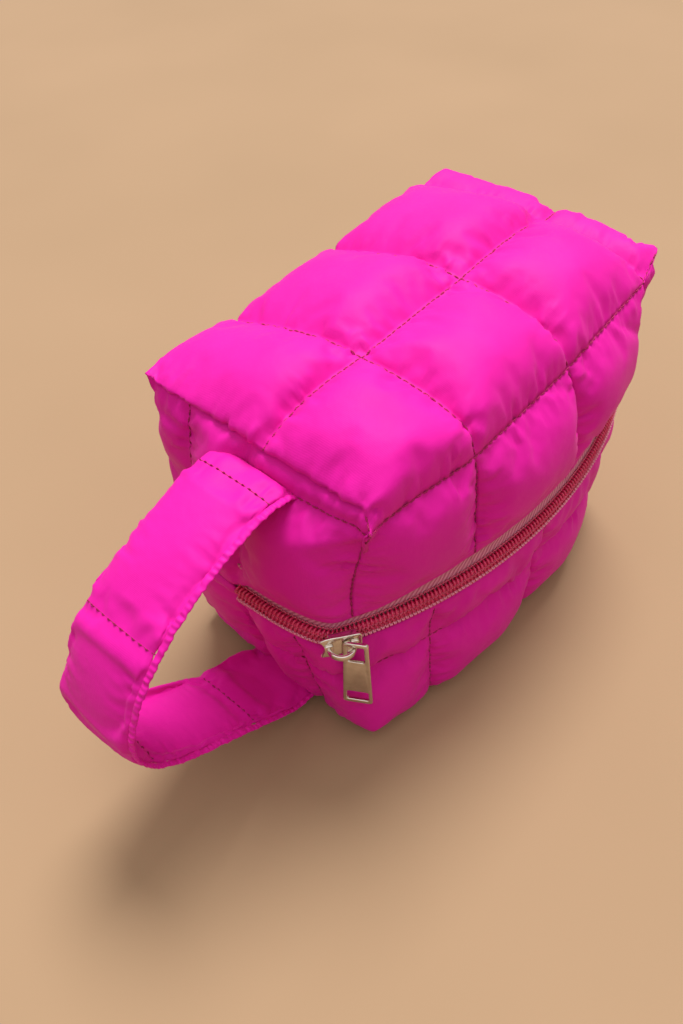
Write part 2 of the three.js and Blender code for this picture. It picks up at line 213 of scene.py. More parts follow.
class Look:
    """A node material that starts from a Principled shader."""

    def __init__(self, name, color, roughness, **sockets):
        self.mat = bpy.data.materials.new(name)
        self.mat.use_nodes = True
        self.nodes, self.links = self.mat.node_tree.nodes, self.mat.node_tree.links
        self.shader = self.nodes["Principled BSDF"]
        self.shader.inputs["Base Color"].default_value = (*color, 1)
        self.shader.inputs["Roughness"].default_value = roughness
        for key, value in sockets.items():
            self.shader.inputs[key.replace("_", " ").title().replace("Ior", "IOR")].default_value = value
        self.height = None

    def add(self, kind, **values):
        node = self.nodes.new(kind)
        for key, value in values.items():
            if hasattr(node, key):
                setattr(node, key, value)
            else:
                node.inputs[key.replace("_", " ").title()].default_value = value
        return node

    def place(self, kind, scale=(1, 1, 1), turn=0.0):
        """Coordinates of the kind Object or UV, scaled and turned."""
        source = self.add("ShaderNodeTexCoord")
        mapping = self.add("ShaderNodeMapping")
        mapping.inputs["Scale"].default_value = scale
        mapping.inputs["Rotation"].default_value = (0, 0, math.radians(turn))
        self.links.new(source.outputs[kind], mapping.inputs["Vector"])
        return mapping.outputs["Vector"]

    def noise(self, scale, detail=3.0, where=None):
        node = self.add("ShaderNodeTexNoise", scale=scale, detail=detail)
        self.links.new(where or self.place("Object"), node.inputs["Vector"])
        return node.outputs["Fac"]

    def wave(self, period, turn=0.0, distort=0.0, where="UV"):
        """Bands whose spacing is a length in the coordinates' own units."""
        node = self.add("ShaderNodeTexWave", scale=0.314159 / period, distortion=distort)
        self.links.new(self.place(where, turn=turn), node.inputs["Vector"])
        return node.outputs["Fac"]

    def mix(self, factor, low, high):
        """A colour between two, by a factor that is mapped from the middle of its range."""
        ramp = self.add("ShaderNodeValToRGB")
        ramp.color_ramp.elements[0].position, ramp.color_ramp.elements[1].position = 0.3, 0.7
        ramp.color_ramp.elements[0].color = (*low, 1)
        ramp.color_ramp.elements[1].color = (*high, 1)
        self.links.new(factor, ramp.inputs["Fac"])
        return ramp.outputs["Color"]

    def color(self, factor, low, high):
        self.links.new(self.mix(factor, low, high), self.shader.inputs["Base Color"])

    def roughness(self, factor, low, high):
        node = self.add("ShaderNodeMapRange")
        node.inputs["To Min"].default_value, node.inputs["To Max"].default_value = low, high
        self.links.new(factor, node.inputs["Value"])
        self.links.new(node.outputs["Result"], self.shader.inputs["Roughness"])

    def bump(self, height, distance, strength=1.0):
        """Adds a bump of that height, in millimetres, over those already there."""
        node = self.add("ShaderNodeBump")
        node.inputs["Strength"].default_value = strength
        node.inputs["Distance"].default_value = distance * MM
        self.links.new(height, node.inputs["Height"])
        if self.height is not None:
            self.links.new(self.height, node.inputs["Normal"])
        self.height = node.outputs["Normal"]
        self.links.new(self.height, self.shader.inputs["Normal"])


def woven(name, low, high, roughness, yarn, **sockets):
    """A plain-woven cloth: two crossed sets of yarns, soft creases, and a little unevenness of dye."""
    look = Look(name, low, roughness, **sockets)
    look.color(look.noise(45, 4), low, high)
    look.roughness(look.noise(120, 2), roughness - 0.05, roughness + 0.07)
    look.bump(look.noise(260, 4), 0.35, 0.5)
    for turn in (0, 90):
        look.bump(look.wave(yarn, turn), 0.05, 0.3)
    return look.mat


def nylon_look():
    return woven("nylon_cloth", (0.66, 0.006, 0.305), (0.72, 0.010, 0.335), 0.55, 0.45,
                 specular_ior_level=0.12, sheen_weight=0.03, sheen_roughness=0.5)


def lining_look():
    return woven("lining_cloth", (0.42, 0.008, 0.15), (0.50, 0.012, 0.19), 0.55, 0.6,
                 specular_ior_level=0.25)


def wadding_look():
    look = Look("wadding_fluff", (0.9, 0.9, 0.88), 0.95, sheen_weight=0.5)
    look.color(look.noise(150, 6), (0.82, 0.81, 0.79), (0.95, 0.94, 0.92))
    look.bump(look.noise(420, 8), 1.2)
    return look.mat


def tape_look():
    look = Look("twill_tape", (0.55, 0.12, 0.22), 0.75, sheen_weight=0.2)
    look.color(look.wave(1.25, 52, 0.6), (0.52, 0.10, 0.20), (0.72, 0.24, 0.36))
    look.bump(look.wave(1.25, 52, 0.6), 0.16)
    look.bump(look.wave(0.42, 0), 0.05)
    look.roughness(look.noise(900, 2), 0.65, 0.85)
    return look.mat


def coil_look():
    look = Look("coil_nylon", (0.55, 0.015, 0.08), 0.3, specular_ior_level=0.5, coat_weight=0.2)
    look.color(look.noise(700, 3), (0.60, 0.012, 0.085), (0.76, 0.036, 0.155))
    look.roughness(look.noise(1500, 2), 0.22, 0.42)
    look.bump(look.noise(3000, 3), 0.03)
    return look.mat


def thread_look_painted_glints(name, low, high):
    look = Look(name, low, 0.45, sheen_weight=0.05, specular_ior_level=0.25)
    # the colour's lighter bands along the twist are painted highlights, glints on the thread's plies; the
    # bump beside them gives the twist its relief
    look.color(look.wave(0.5, 38), low, high)
    look.bump(look.wave(0.5, 38), 0.12)
    look.roughness(look.noise(2500, 2), 0.4, 0.65)
    return look.mat


def nickel_look():
    look = Look("nickel_plate", (0.72, 0.66, 0.59), 0.18, metallic=1.0)
    look.color(look.noise(400, 3), (0.68, 0.61, 0.54), (0.78, 0.72, 0.66))
    look.roughness(look.noise(900, 5), 0.12, 0.26)
    brushed = look.noise(500, 4, look.place("Object", (1, 1, 9)))
    look.bump(brushed, 0.02, 0.4)
    return look.mat


def binding_look():
    look = Look("bias_tape", (0.33, 0.008, 0.12), 0.7, sheen_weight=0.3)
    look.color(look.noise(300, 4), (0.28, 0.006, 0.1), (0.40, 0.012, 0.16))
    look.bump(look.wave(0.0009, 90, 0.5, "Object"), 0.2)
    look.bump(look.noise(900, 4), 0.12)
    return look.mat


NYLON, LINING, WADDING = nylon_look(), lining_look(), wadding_look()
TAPE, COIL, NICKEL, BINDING = tape_look(), coil_look(), nickel_look(), binding_look()
THREAD = thread_look_painted_glints("quilting_thread", (0.34, 0.003, 0.085), (0.46, 0.012, 0.13))
# the lower half's threads are a paler pink than the upper half's: on the bead row over the coil the pale
# pink is painted highlight, glints along the middle of the coil; the chain stitch below the coil shares it
ZIP_THREAD_PALE_AND_PAINTED_HIGHLIGHT = thread_look_painted_glints("zip_thread_pale_and_painted_highlight", (0.72, 0.16, 0.28), (0.92, 0.42, 0.55))
COIL_THREAD = thread_look_painted_glints("coil_thread", (0.62, 0.04, 0.13), (0.85, 0.18, 0.30))

# --- quilted panels ------------------------------------------------------------------------------
# A ring of columns runs round the bag, counter-clockwise from above, from the near end's seam. Its
# rows run from the zip's edge up or down to a patch that closes the panel.
FOLD = 2                      # rows of cloth turned in at the zip's edge, before the edge itself
SIDE_ROWS = 21                # rows from the edge to the quilting line under the top panel
NX = (20, 24, 24, 4)          # upper panel: columns between its cross lines, from the near end
NY = (19, 3, 12, 8)           # rows of its patch between the zip's side, centre, end seam, line, back
TUCK, TUCK_HEIGHT = 1.2, 4.5  # how far the upper panel's edge sits in, over the zip, and how high up
LINE_DROP, FRONT_DROP = 8.0, 1.6      # the first quilting line runs this far under the top panel's edge
UPPER_CROWN, LOWER_CROWN = 12.5, 2.0  # how far the middle of each large panel is lifted
CORNER_COLUMNS = 3            # the near end seam turns down over these to the line along the zip's side
LOWER_NX = (12, 25, 24, 10)   # the lower panel's lines fall elsewhere
LOWER_NY = (10, 11, 19)
LOWER_ROWS = (9, 14, 9)       # zip to the first line, to the bottom edge, and round it


def ring_columns(stations):
    """Arrays over the ring's columns, and the column number of each station.

    A station is (name, points and places on the waist, columns to the next station)."""
    rows, marks, column = [], {}, 0
    closed = stations + [stations[0]]
    for k, (here, there) in enumerate(zip(closed[:-1], closed[1:])):
        marks[here[0]] = column
        ahead = [np.asarray(v, float) for v in there[1:-1]]
        values = [np.asarray(v, float) for v in here[1:-1]]
        if k == len(stations) - 1:
            ahead[-1] = np.asarray(WAIST.length)
        for i in range(here[-1]):
            rows.append([c + (n - c) * i / here[-1] for c, n in zip(values, ahead)])
        column += here[-1]
    return [np.array([r[k] for r in rows]) for k in range(len(rows[0]))], marks


def waist_x(x, front=True):
    """Place on the waist where it has this x, on the zip's side or the back."""
    pts, s = WAIST.points, WAIST.s
    half = s <= ZIP.length if front else s > ZIP.length
    return s[half][np.argmin(np.abs(pts[half, 0] - x))]


def coons(bottom, top, left, right):
    """Grid between four edges; bottom and top run the same way, as do left and right."""
    u = np.linspace(0, 1, len(bottom))[None, :, None]
    v = np.linspace(0, 1, len(left))[:, None, None]
    ruled_v = (1 - v) * bottom[None] + v * top[None]
    ruled_u = (1 - u) * left[:, None] + u * right[:, None]
    mixed = ((1 - u) * (1 - v) * bottom[0] + u * (1 - v) * bottom[-1]
             + (1 - u) * v * top[0] + u * v * top[-1])
    return ruled_v + ruled_u - mixed


def crown(patch, rise):
    """Lifts the middle of a patch, leaving its edges."""
    a = np.linspace(-1, 1, patch.shape[1])[None, :]
    b = np.linspace(-1, 1, patch.shape[0])[:, None]
    patch[..., 2] += rise * (1 - np.abs(a) ** 5) * (1 - np.abs(b) ** np.where(b > 0, 2, 3))
    return patch


def edge_patch(edge, mark):
    """The patch that closes a ring's last row."""
    front = edge[mark["near_front"]: mark["far_front"] + 1]
    far = edge[mark["far_front"]: mark["far_back"] + 1]
    back = edge[mark["far_back"]: mark["near_back"] + 1][::-1]
    near = np.vstack([edge[mark["near_back"]:], edge[: mark["near_front"] + 1]])[::-1]
    return coons(front, back, near, far)


def folded_edge(waist_s, edge_z, sign):
    """Two rows of cloth turned in behind the zip's edge; sign is +1 for the upper panel."""
    middle, inward = WAIST.at(waist_s), WAIST.inward(waist_s)
    turned = [(2.3, 1.5), (1.7, -0.35)] if sign > 0 else [(1.45, 1.5), (0.8, -0.45)]
    return [np.column_stack([middle + inward * d, edge_z + sign * z]) for d, z in turned]


def zip_edge(waist_s, sign):
    """Height of the panel's edge: the tape shows more above the zip than below."""
    x = WAIST.at(waist_s)[:, 0]
    on_zip = waist_s <= ZIP.length + 1e-6
    closing = 0.3 + 0.7 * smooth01(np.minimum(waist_s, ZIP.length - waist_s) / 5)
    if sign > 0:
        show = 6.6 + 3.2 * smooth01((x + 74) / 40) - 1.5 * smooth01((x - 55) / 30)
        return ZIP_Z + np.where(on_zip, 1.7 + (show - 1.7) * closing, 1.7)
    return ZIP_Z + np.where(on_zip, 1.3 - 6.0 * closing, 1.3)


def upper_panel():
    stations = [
        ("near_seam", (-72.5, SEAM_Y, 122.8), 0, NY[1]),
        ("near_centre", (-72.5, -3.5, 122.0), 5.5, NY[0] - CORNER_COLUMNS),
        ("near_corner", (-73.0, -41.5, 122.5), waist_x(-77.5), CORNER_COLUMNS),
        ("near_front", (-74.5, -45.0, 115.5), waist_x(-74.5), NX[0]),
        ("front_1", (-32, -51.6, 115.6), waist_x(-32), NX[1]),
        ("front_2", (19, -51.6, 115.6), waist_x(19), NX[2]),
        ("front_3", (72, -49.5, 118), waist_x(70), NX[3]),
        ("far_front", (87, -44.5, 122), ZIP.nearest(82.5, -38), NY[0]),
        ("far_centre", (88, -3.5, 122.5), ZIP.length - 5.5, NY[1]),
        ("far_seam", (88, SEAM_Y, 122.5), ZIP.length, NY[2]),
        ("far_line", (88, 27, 123), WAIST.nearest(81, 25), NY[3]),
        ("far_back", (86, 47, 123.3), WAIST.nearest(76, 40), NX[3]),
        ("back_3", (72, 49.5, 123), waist_x(70, False), NX[2]),
        ("back_2", (19, 49.5, 120.5), waist_x(19, False), NX[1]),
        ("back_1", (-32, 48.5, 120.5), waist_x(-32, False), NX[0]),
        ("near_back", (-73, 46.5, 125.5), WAIST.nearest(-76, 40), NY[3]),
        ("near_line", (-73, 27, 124), WAIST.nearest(-83, 25), NY[2]),
    ]
    (top, waist_s), mark = ring_columns(stations)
    low = zip_edge(waist_s, 1)
    drop = np.full(len(top), LINE_DROP)
    drop[mark["near_front"]: mark["far_front"] + 1] = FRONT_DROP
    turn_down = np.linspace(LINE_DROP, FRONT_DROP, CORNER_COLUMNS + 1)
    drop[mark["near_corner"]: mark["near_front"] + 1] = turn_down
    far_columns = mark["far_seam"] - mark["far_front"]
    turn_up = smooth01(np.linspace(0, 1.6, far_columns))
    drop[mark["far_front"]: mark["far_seam"]] = FRONT_DROP + (LINE_DROP - FRONT_DROP) * turn_up
    line_z = top[:, 2] - drop
    steps = np.linspace(0, 1, SIDE_ROWS + 1)[:, None]
    z = np.vstack([low + (line_z - low) * steps, line_z + drop / 2, top[:, 2]])
    rise = (z - low) / (top[:, 2] - low)
    bulge = (1 - rise ** 2)[..., None]
    xy = top[None, :, :2] * (1 - bulge) + WAIST.at(waist_s)[None] * bulge
    # above the zip the cloth curves in to the tape
    on_zip = waist_s <= ZIP.length + 1e-6
    tuck = np.where(on_zip, TUCK * np.exp(-(z - low) / TUCK_HEIGHT), 0)
    xy = xy + tuck[..., None] * WAIST.inward(waist_s)[None]
    ring = np.concatenate([folded_edge(waist_s, low, 1), np.dstack([xy, z])])
    return ring, crown(edge_patch(top, mark), UPPER_CROWN), mark, waist_s


def lower_panel():
    stations = [
        ("near_seam", (-77.5, SEAM_Y, 10), (-73, SEAM_Y, 2.2), 0, LOWER_NY[1]),
        ("near_line", (-78.5, -22, 10), (-73, -21, 2.0), ZIP.nearest(-84.8, -21), LOWER_NY[0]),
        ("near_front", (-74.5, -45, 10), (-68, -40.5, 0.9), waist_x(-74.5), LOWER_NX[0]),
        ("front_1", (-47.5, -52.0, 10), (-47.5, -43, 0.5), waist_x(-47.5), LOWER_NX[1]),
        ("front_2", (5, -56.5, 10), (5, -46, 0.5), waist_x(5), LOWER_NX[2]),
        ("front_3", (56, -51.5, 10), (56, -43, 0.5), waist_x(56), LOWER_NX[3]),
        ("far_front", (77.5, -41, 10), (71, -37, 0.9), ZIP.nearest(82.5, -38), LOWER_NY[0] + LOWER_NY[1]),
        ("far_seam", (80, SEAM_Y, 10), (74, SEAM_Y, 2.2), ZIP.length, LOWER_NY[2]),
        ("far_back", (77, 42, 10), (70, 36, 0.9), WAIST.nearest(76, 40), LOWER_NX[3]),
        ("back_3", (56, 46, 10), (56, 38, 0.5), waist_x(56, False), LOWER_NX[2]),
        ("back_2", (5, 47, 10), (5, 38.5, 0.5), waist_x(5, False), LOWER_NX[1]),
        ("back_1", (-47.5, 46, 10), (-47.5, 38, 0.5), waist_x(-47.5, False), LOWER_NX[0]),
        ("near_back", (-74, 41.5, 10), (-68, 36, 0.9), WAIST.nearest(-76, 40), LOWER_NY[2]),
    ]
    (low, foot, waist_s), mark = ring_columns(stations)
    middle = WAIST.at(waist_s)
    edge_z = zip_edge(waist_s, -1)
    zip_rows, side_rows, foot_rows = LOWER_ROWS
    line_z = np.where(waist_s <= ZIP.length + 1e-6, 38.5, 47)
    rows = folded_edge(waist_s, edge_z, -1)
    for k in range(zip_rows + side_rows):
        if k < zip_rows:
            z = edge_z + (line_z - edge_z) * k / zip_rows
        else:
            z = line_z + (low[:, 2] - line_z) * (k - zip_rows) / side_rows
        t = ((edge_z - z) / (edge_z - low[:, 2]))[:, None] ** 1.6
        rows.append(np.column_stack([middle * (1 - t) + low[:, :2] * t, z]))
    for phi in np.linspace(0, math.pi / 2, foot_rows + 1):
        xy = foot[:, :2] + (low[:, :2] - foot[:, :2]) * math.cos(phi)
        z = foot[:, 2] + (low[:, 2] - foot[:, 2]) * (1 - math.sin(phi))
        rows.append(np.column_stack([xy, z]))
    return np.array(rows), crown(edge_patch(rows[-1], mark), LOWER_CROWN), mark, waist_s


class Panel:
    """Vertex numbers, faces and weave coordinates of a ring welded to its patch."""

    def __init__(self, name, ring, patch, mark, waist_s, flip):
        self.name, self.mark, self.flip = name, mark, flip
        rows, total = ring.shape[:2]
        index = np.arange(rows * total).reshape(rows, total)
        self.ring = np.hstack([index, index[:, :1]])
        self.patch = self.weld_patch(patch, index[-1], rows * total)
        self.verts = np.vstack([ring.reshape(-1, 3), patch[self.inner]])
        heights = np.r_[0, np.cumsum(np.linalg.norm(np.diff(ring, axis=0), axis=2).mean(1))]
        around = np.r_[waist_s, WAIST.length]
        ring_uv = np.dstack(np.meshgrid(around, heights))
        faces = [corners(self.ring), corners(self.patch)]
        uv = [corners(ring_uv), corners(patch[..., :2])]
        self.ring_faces = len(faces[0])
        self.faces, self.uv = np.vstack(faces), np.vstack(uv)
        if flip:
            self.faces, self.uv = self.faces[:, ::-1], self.uv[:, ::-1]
        self.region = np.zeros(len(self.faces), np.int32)
        self.lines, self.gathers, self.overhung = [], [], None

    def weld_patch(self, patch, last, first_free):
        f0, f1, b1, b0 = (self.mark[k] for k in ("near_front", "far_front", "far_back", "near_back"))
        grid = -np.ones(patch.shape[:2], int)
        grid[0] = last[f0: f1 + 1]
        grid[:, -1] = last[f1: b1 + 1]
        grid[-1] = last[b1: b0 + 1][::-1]
        grid[:, 0] = np.r_[last[b0:], last[: f0 + 1]][::-1]
        self.inner = grid < 0
        grid[self.inner] = first_free + np.arange(self.inner.sum())
        return grid

    def stitch(self, ids, group="root", sewn=True):
        """A quilting line along these vertices; a line that isn't sewn is only a crease."""
        self.lines.append((np.asarray(ids), group, sewn))

    def column(self, name, rows=slice(FOLD, None), **kind):
        self.stitch(self.ring[rows, self.mark[name]], **kind)

    def set_region(self, first, last, number):
        cells = np.zeros((self.ring.shape[0] - 1, self.ring.shape[1] - 1), bool)
        cells[:, self.mark[first]: self.mark[last]] = True
        self.region[: self.ring_faces][cells.ravel()] = number

    def pinned(self):
        held = set(self.ring[: FOLD + 1 if self.flip else FOLD + 3].ravel())
        for ids, *_ in self.lines:
            held |= set(ids)
        return sorted(int(i) for i in held)

    def object_at(self, verts, name):
        obj = make_object(name, verts, self.faces, self.uv)
        obj.data.polygons.foreach_set("material_index", self.region)
        for _ in range(self.region.max() + 1):
            obj.data.materials.append(NYLON)
        return obj


def upper_quilt():
    ring, patch, mark, waist_s = upper_panel()
    panel = Panel("quilt_upper", ring, patch, mark, waist_s, flip=False)
    top = panel.ring[-1]
    line = panel.ring[FOLD + SIDE_ROWS]
    for name in ("near_front", "front_3", "back_1", "back_2", "back_3", "near_line"):
        panel.column(name)
    for name in ("front_1", "front_2"):
        panel.column(name, group="lip")
    for name in ("near_seam", "far_seam"):
        panel.column(name, sewn=False)
    panel.stitch(line[mark["near_seam"]: mark["near_front"] + 1])
    panel.stitch(line[mark["far_front"]: mark["near_back"] + 1])
    panel.stitch(top[mark["near_corner"]: mark["far_front"] + 1])
    panel.stitch(top[: mark["near_corner"] + 1], sewn=False)
    panel.stitch(top[mark["near_back"]:], sewn=False)
    panel.gathers = [top[mark["near_corner"]], top[mark["near_back"]]]
    panel.overhung = np.r_[top[mark["near_back"]:], top[1: mark["near_corner"] + 1]]
    panel.stitch(panel.patch[NY[0]])
    for column in np.cumsum(NX)[:3]:
        panel.stitch(panel.patch[:, column])
    for number, (first, last) in enumerate(
            [("near_front", "front_1"), ("front_1", "front_2"), ("front_2", "front_3")], 1):
        panel.set_region(first, last, number)
    return panel


def lower_quilt():
    ring, patch, mark, waist_s = lower_panel()
    panel = Panel("quilt_lower", ring, patch, mark, waist_s, flip=True)
    zip_row, back_row = FOLD + LOWER_ROWS[0], FOLD + LOWER_ROWS[0] + 11
    foot = panel.ring[-1]
    for name in ("front_1", "front_2", "front_3", "back_1", "back_2", "back_3", "near_line"):
        panel.column(name)
    for name in ("near_seam", "far_seam"):
        panel.column(name, sewn=False)
    panel.stitch(panel.ring[zip_row, : mark["far_seam"] + 1])
    panel.stitch(panel.ring[back_row, mark["far_seam"]:])
    panel.stitch(foot[: mark["near_front"] + 1], sewn=False)
    panel.stitch(foot[mark["far_front"]: mark["far_back"] + 1], sewn=False)
    panel.stitch(foot[mark["near_back"]:], sewn=False)
    for row in (4, 28):
        panel.stitch(panel.patch[row])
    for column in np.cumsum(LOWER_NX)[:3]:
        panel.stitch(panel.patch[:, column])
    return panel


# --- cloth ---------------------------------------------------------------------------------------
SIM_SCALE = 10.0              # the solver works best on a thing about a metre long


CLOTH_SETTINGS = {
    "quality": 6, "mass": 0.25, "air_damping": 1.0, "tension_stiffness": 25, "compression_stiffness": 25,
    "shear_stiffness": 12, "tension_damping": 15, "compression_damping": 15, "bending_damping": 1.0,
    "use_pressure": True, "vertex_group_mass": "pin", "pin_stiffness": 1,
}


def blow_up(obj, pinned, pressure, swell, calm=1.0, frames=22, cap=9.0, bending=0.6):
    """Blows the cloth up between its pinned points, and keeps the share calm of its move."""
    rest = coords(obj.data)
    temp = obj.copy()
    temp.data = obj.data.copy()
    bpy.context.scene.collection.objects.link(temp)
    set_coords(temp.data, rest * SIM_SCALE)
    group = temp.vertex_groups.new(name="pin")
    group.add(pinned, 1.0, "REPLACE")
    mod = temp.modifiers.new("cloth", "CLOTH")
    cloth = mod.settings
    for setting, value in CLOTH_SETTINGS.items():
        setattr(cloth, setting, value)
    cloth.bending_stiffness = bending
    cloth.uniform_pressure_force = pressure
    cloth.shrink_min = -swell
    cloth.effector_weights.gravity = 0
    mod.collision_settings.use_collision = False
    mod.collision_settings.use_self_collision = False
    mod.point_cache.frame_start = 1
    mod.point_cache.frame_end = frames
    for f in range(1, frames + 1):
        bpy.context.scene.frame_set(f)
    graph = bpy.context.evaluated_depsgraph_get()
    blown = coords(temp.evaluated_get(graph).data) / SIM_SCALE
    bpy.data.objects.remove(temp)
    move = blown - rest
    size = np.linalg.norm(move, axis=1, keepdims=True)
    move *= calm * np.minimum(1, cap * MM / np.maximum(size, 1e-9))
    set_coords(obj.data, rest + move)
    bpy.context.scene.frame_set(1)


def crease_edges(mesh, lines, amount):
    """Keeps these lines of vertices sharp under the subdivision."""
    wanted = {tuple(sorted(pair)) for ids in lines for pair in zip(map(int, ids[:-1]), map(int, ids[1:]))}
    crease = mesh.attributes.new("crease_edge", "FLOAT", "EDGE")
    values = [amount if tuple(sorted(e.vertices)) in wanted else 0.0 for e in mesh.edges]
    crease.data.foreach_set("value", values)


def subdivide(obj):
    mod = obj.modifiers.new("fine", "SUBSURF")
    mod.levels = mod.render_levels = 1
    return apply_modifiers(obj)


def line_distance(co, lines):
    """Distance from each point to the nearest of the lines, and a length that runs along them."""
    points, along = [], []
    for number, line in enumerate(lines):
        path = Line(np.asarray(line) / MM)
        s = np.arange(0, path.length, 0.7)
        points.append(path.at(s))
        along.append(s + 37.0 * number)
    points, along = np.vstack(points), np.concatenate(along)
    tree = KDTree(len(points))
    for i, p in enumerate(points):
        tree.insert(p, i)
    tree.balance()
    found = [tree.find(p / MM)[1:] for p in co]
    return np.array([f[1] for f in found]), along[[f[0] for f in found]]


def draw_in(obj, lines, depth, reach, share):
    """Pulls the cloth in along its lines of stitches; share says how much of it each point takes."""
    mesh = obj.data
    co, nor = coords(mesh), normals(mesh)
    distance, _ = line_distance(co, lines)
    set_coords(mesh, co - nor * (depth * MM * share * np.exp(-distance / reach))[:, None])


def star(co, centre, normal, arms=5, height=0.6, reach=6.0):
    """Folds that run out from a point where the cloth is gathered, as heights in millimetres."""
    away = (co - centre) / MM
    side = np.cross(normal, (0.3, 0.5, 0.8))
    side /= np.linalg.norm(side)
    angle = np.arctan2(away @ np.cross(normal, side), away @ side)
    r = np.linalg.norm(away, axis=1)
    fade = np.exp(-(r / reach) ** 2) * (1 - np.exp(-(r / 1.2) ** 2))
    return height * fade * np.cos(arms * angle + 0.8 * np.sin(angle))


def pucker(obj, lines, height=0.5, reach=9.0, gathers=()):
    """Draws the cloth into small ridges that run away from each line of stitches."""
    mesh = obj.data
    co, nor = coords(mesh), normals(mesh)
    distance, s = line_distance(co, lines)
    wander = 0.8 * np.sin(distance / 2.1 + s / 9)
    wave = ripple(s + wander, (4.3, 6.1, 9.7), 3) + 0.6 * ripple(s - wander, (2.9, 3.7), 5)
    patchy = 0.55 + 0.45 * ripple(s, (23, 41), 11)
    fade = np.exp(-(distance / reach) ** 2) * (1 - np.exp(-(distance / 0.9) ** 2) * 0.6)
    soft = ripple(co @ np.array([530.0, 310.0, 120.0]), (13, 29), 2) * 0.25
    move = height * wave * patchy * fade + soft * smooth01(distance / 12)
    for point in gathers:
        nearest = np.argmin(np.linalg.norm(co - point, axis=1))
        move += star(co, co[nearest], nor[nearest])
    set_coords(mesh, co + nor * (move * MM)[:, None])


def split(obj, names):
    """One object for each region of the mesh's faces."""
    pieces = []
    for number, name in enumerate(names):
        bm = bmesh.new()
        bm.from_mesh(obj.data)
        other = [f for f in bm.faces if f.material_index != number]
        bmesh.ops.delete(bm, geom=other, context="FACES")
        mesh = bpy.data.meshes.new(name)
        bm.to_mesh(mesh)
        bm.free()
        pieces.append(link(name, mesh))
    bpy.data.objects.remove(obj)
    return pieces


# --- how the pieces move -------------------------------------------------------------------------
# The mouth's lip is fully free between these two lines and joins the rest of the bag beyond them.
LIP_NEAR = (-75, -32)
LIP_FAR = (19, 70)


def move_lip_pieces(near, middle, far):
    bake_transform(near)
    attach(middle, "lip")
    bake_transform(far)


# --- threads -------------------------------------------------------------------------------------


def tube(path, radius, across=(0.0, 0.0, 1.0), sides=6):
    """Verts, faces and weave coordinates of a round tube, closed at its ends, along millimetre points.

    across is a direction that the tube never runs along."""
    path = np.asarray(path, float)
    radius = np.broadcast_to(radius, len(path))
    t = np.gradient(path, axis=0)
    t /= np.linalg.norm(t, axis=1, keepdims=True)
    u = np.cross(t, across)
    u /= np.maximum(np.linalg.norm(u, axis=1, keepdims=True), 1e-9)
    w = np.cross(t, u)
    angle = np.linspace(0, 2 * math.pi, sides, endpoint=False)
    rings = (path[:, None] + radius[:, None, None]
             * (np.cos(angle)[None, :, None] * u[:, None] + np.sin(angle)[None, :, None] * w[:, None]))
    n = len(path)
    index = np.arange(n * sides).reshape(n, sides)
    index = np.hstack([index, index[:, :1]])
    s = np.r_[0, np.cumsum(np.linalg.norm(np.diff(path, axis=0), axis=1))]
    uv = np.dstack(np.meshgrid(np.linspace(0, 2, sides + 1), s)[::-1])
    faces = [list(f) for f in corners(index)]
    uvs = [list(q) for q in corners(uv)]
    for ring, order in ((index[0, :-1], 1), (index[-1, :-1], -1)):
        faces.append(list(ring[::order]))
        uvs.append([(0.0, 0.0)] * sides)
    return rings.reshape(-1, 3), faces, uvs


def gather(name, pieces):
    """One object out of many small (verts, faces, uvs)."""
    verts, faces, uvs, base = [], [], [], 0
    for v, f, q in pieces:
        verts.append(v)
        faces += [[i + base for i in face] for face in f]
        uvs += [pair for face in q for pair in face]
        base += len(v)
    return make_object(name, np.vstack(verts), faces, uvs)


STITCH, GAP, THREAD_RADIUS = 2.4, 0.12, 0.27


def stitches(line, upward):
    """Short arched threads along a line of points; upward holds the cloth's direction at each."""
    path = Line(np.asarray(line) / MM)
    pieces = []
    for start in np.arange(0.6, path.length - STITCH, STITCH + GAP):
        s = start + np.linspace(0, STITCH, 6)
        points = path.at(s)
        lift = np.array([-0.35, 0.12, 0.24, 0.24, 0.12, -0.35])
        up = np.stack([np.interp(s, path.s, upward[:, k]) for k in range(3)], -1)
        placed = points + up * lift[:, None]
        radius = THREAD_RADIUS * np.array([0.75, 0.95, 1.05, 1.05, 0.95, 0.75])
        pieces.append(tube(placed, radius))
    return pieces


# --- making the quilts ---------------------------------------------------------------------------
NYLON_THICK = 0.4
UPPER_CLOTH, LOWER_CLOTH = (7, 0.085), (6, 0.07)      # (pressure, share that the cloth grows by)
LINING_LAYER = (7.2, 0.3, 2.7)    # depth under the outer cloth, thickness, and depth where it is sewn
WADDING_LAYER = (3.6, 2.6, 3.6)
VALLEY, VALLEY_REACH = 2.8, 3.3   # how far the stitches draw the cloth in, and how far beside them
SEAM_VALLEY, SEAM_REACH = 2.2, 1.8    # the same for the box seams, over and above that
OVERHANG, OVERHANG_REACH = 3.2, 2.6       # how far the near end's puffs stand out over their seam
OVERHANG_WAY = np.array([-1.0, 0.0, -0.25])
BACK_CALM = 0.4               # the top panel's cells lie this much flatter towards the back
CORNER_SHARE, CORNER_REACH = 0.3, 9.0     # the box's corners are drawn in less, as far as this from each


def overhang(obj, panel):
    """Pushes the top panel's puffs out over the crease of the near end's seam."""
    co = coords(obj.data)
    distance, _ = line_distance(co, [co[panel.overhung]])
    row = panel.patch[:, 1:]
    on_top = np.zeros(len(co))
    on_top[row.ravel()] = 1
    push = OVERHANG * on_top * (distance / OVERHANG_REACH) * np.exp(1 - distance / OVERHANG_REACH)
    seam_y = co[panel.overhung, 1]
    from_end = np.minimum(seam_y.max() - co[:, 1], co[:, 1] - seam_y.min()) / MM
    ends = smooth01(from_end / 6)
    set_coords(obj.data, co + (push * ends * MM)[:, None] * OVERHANG_WAY)


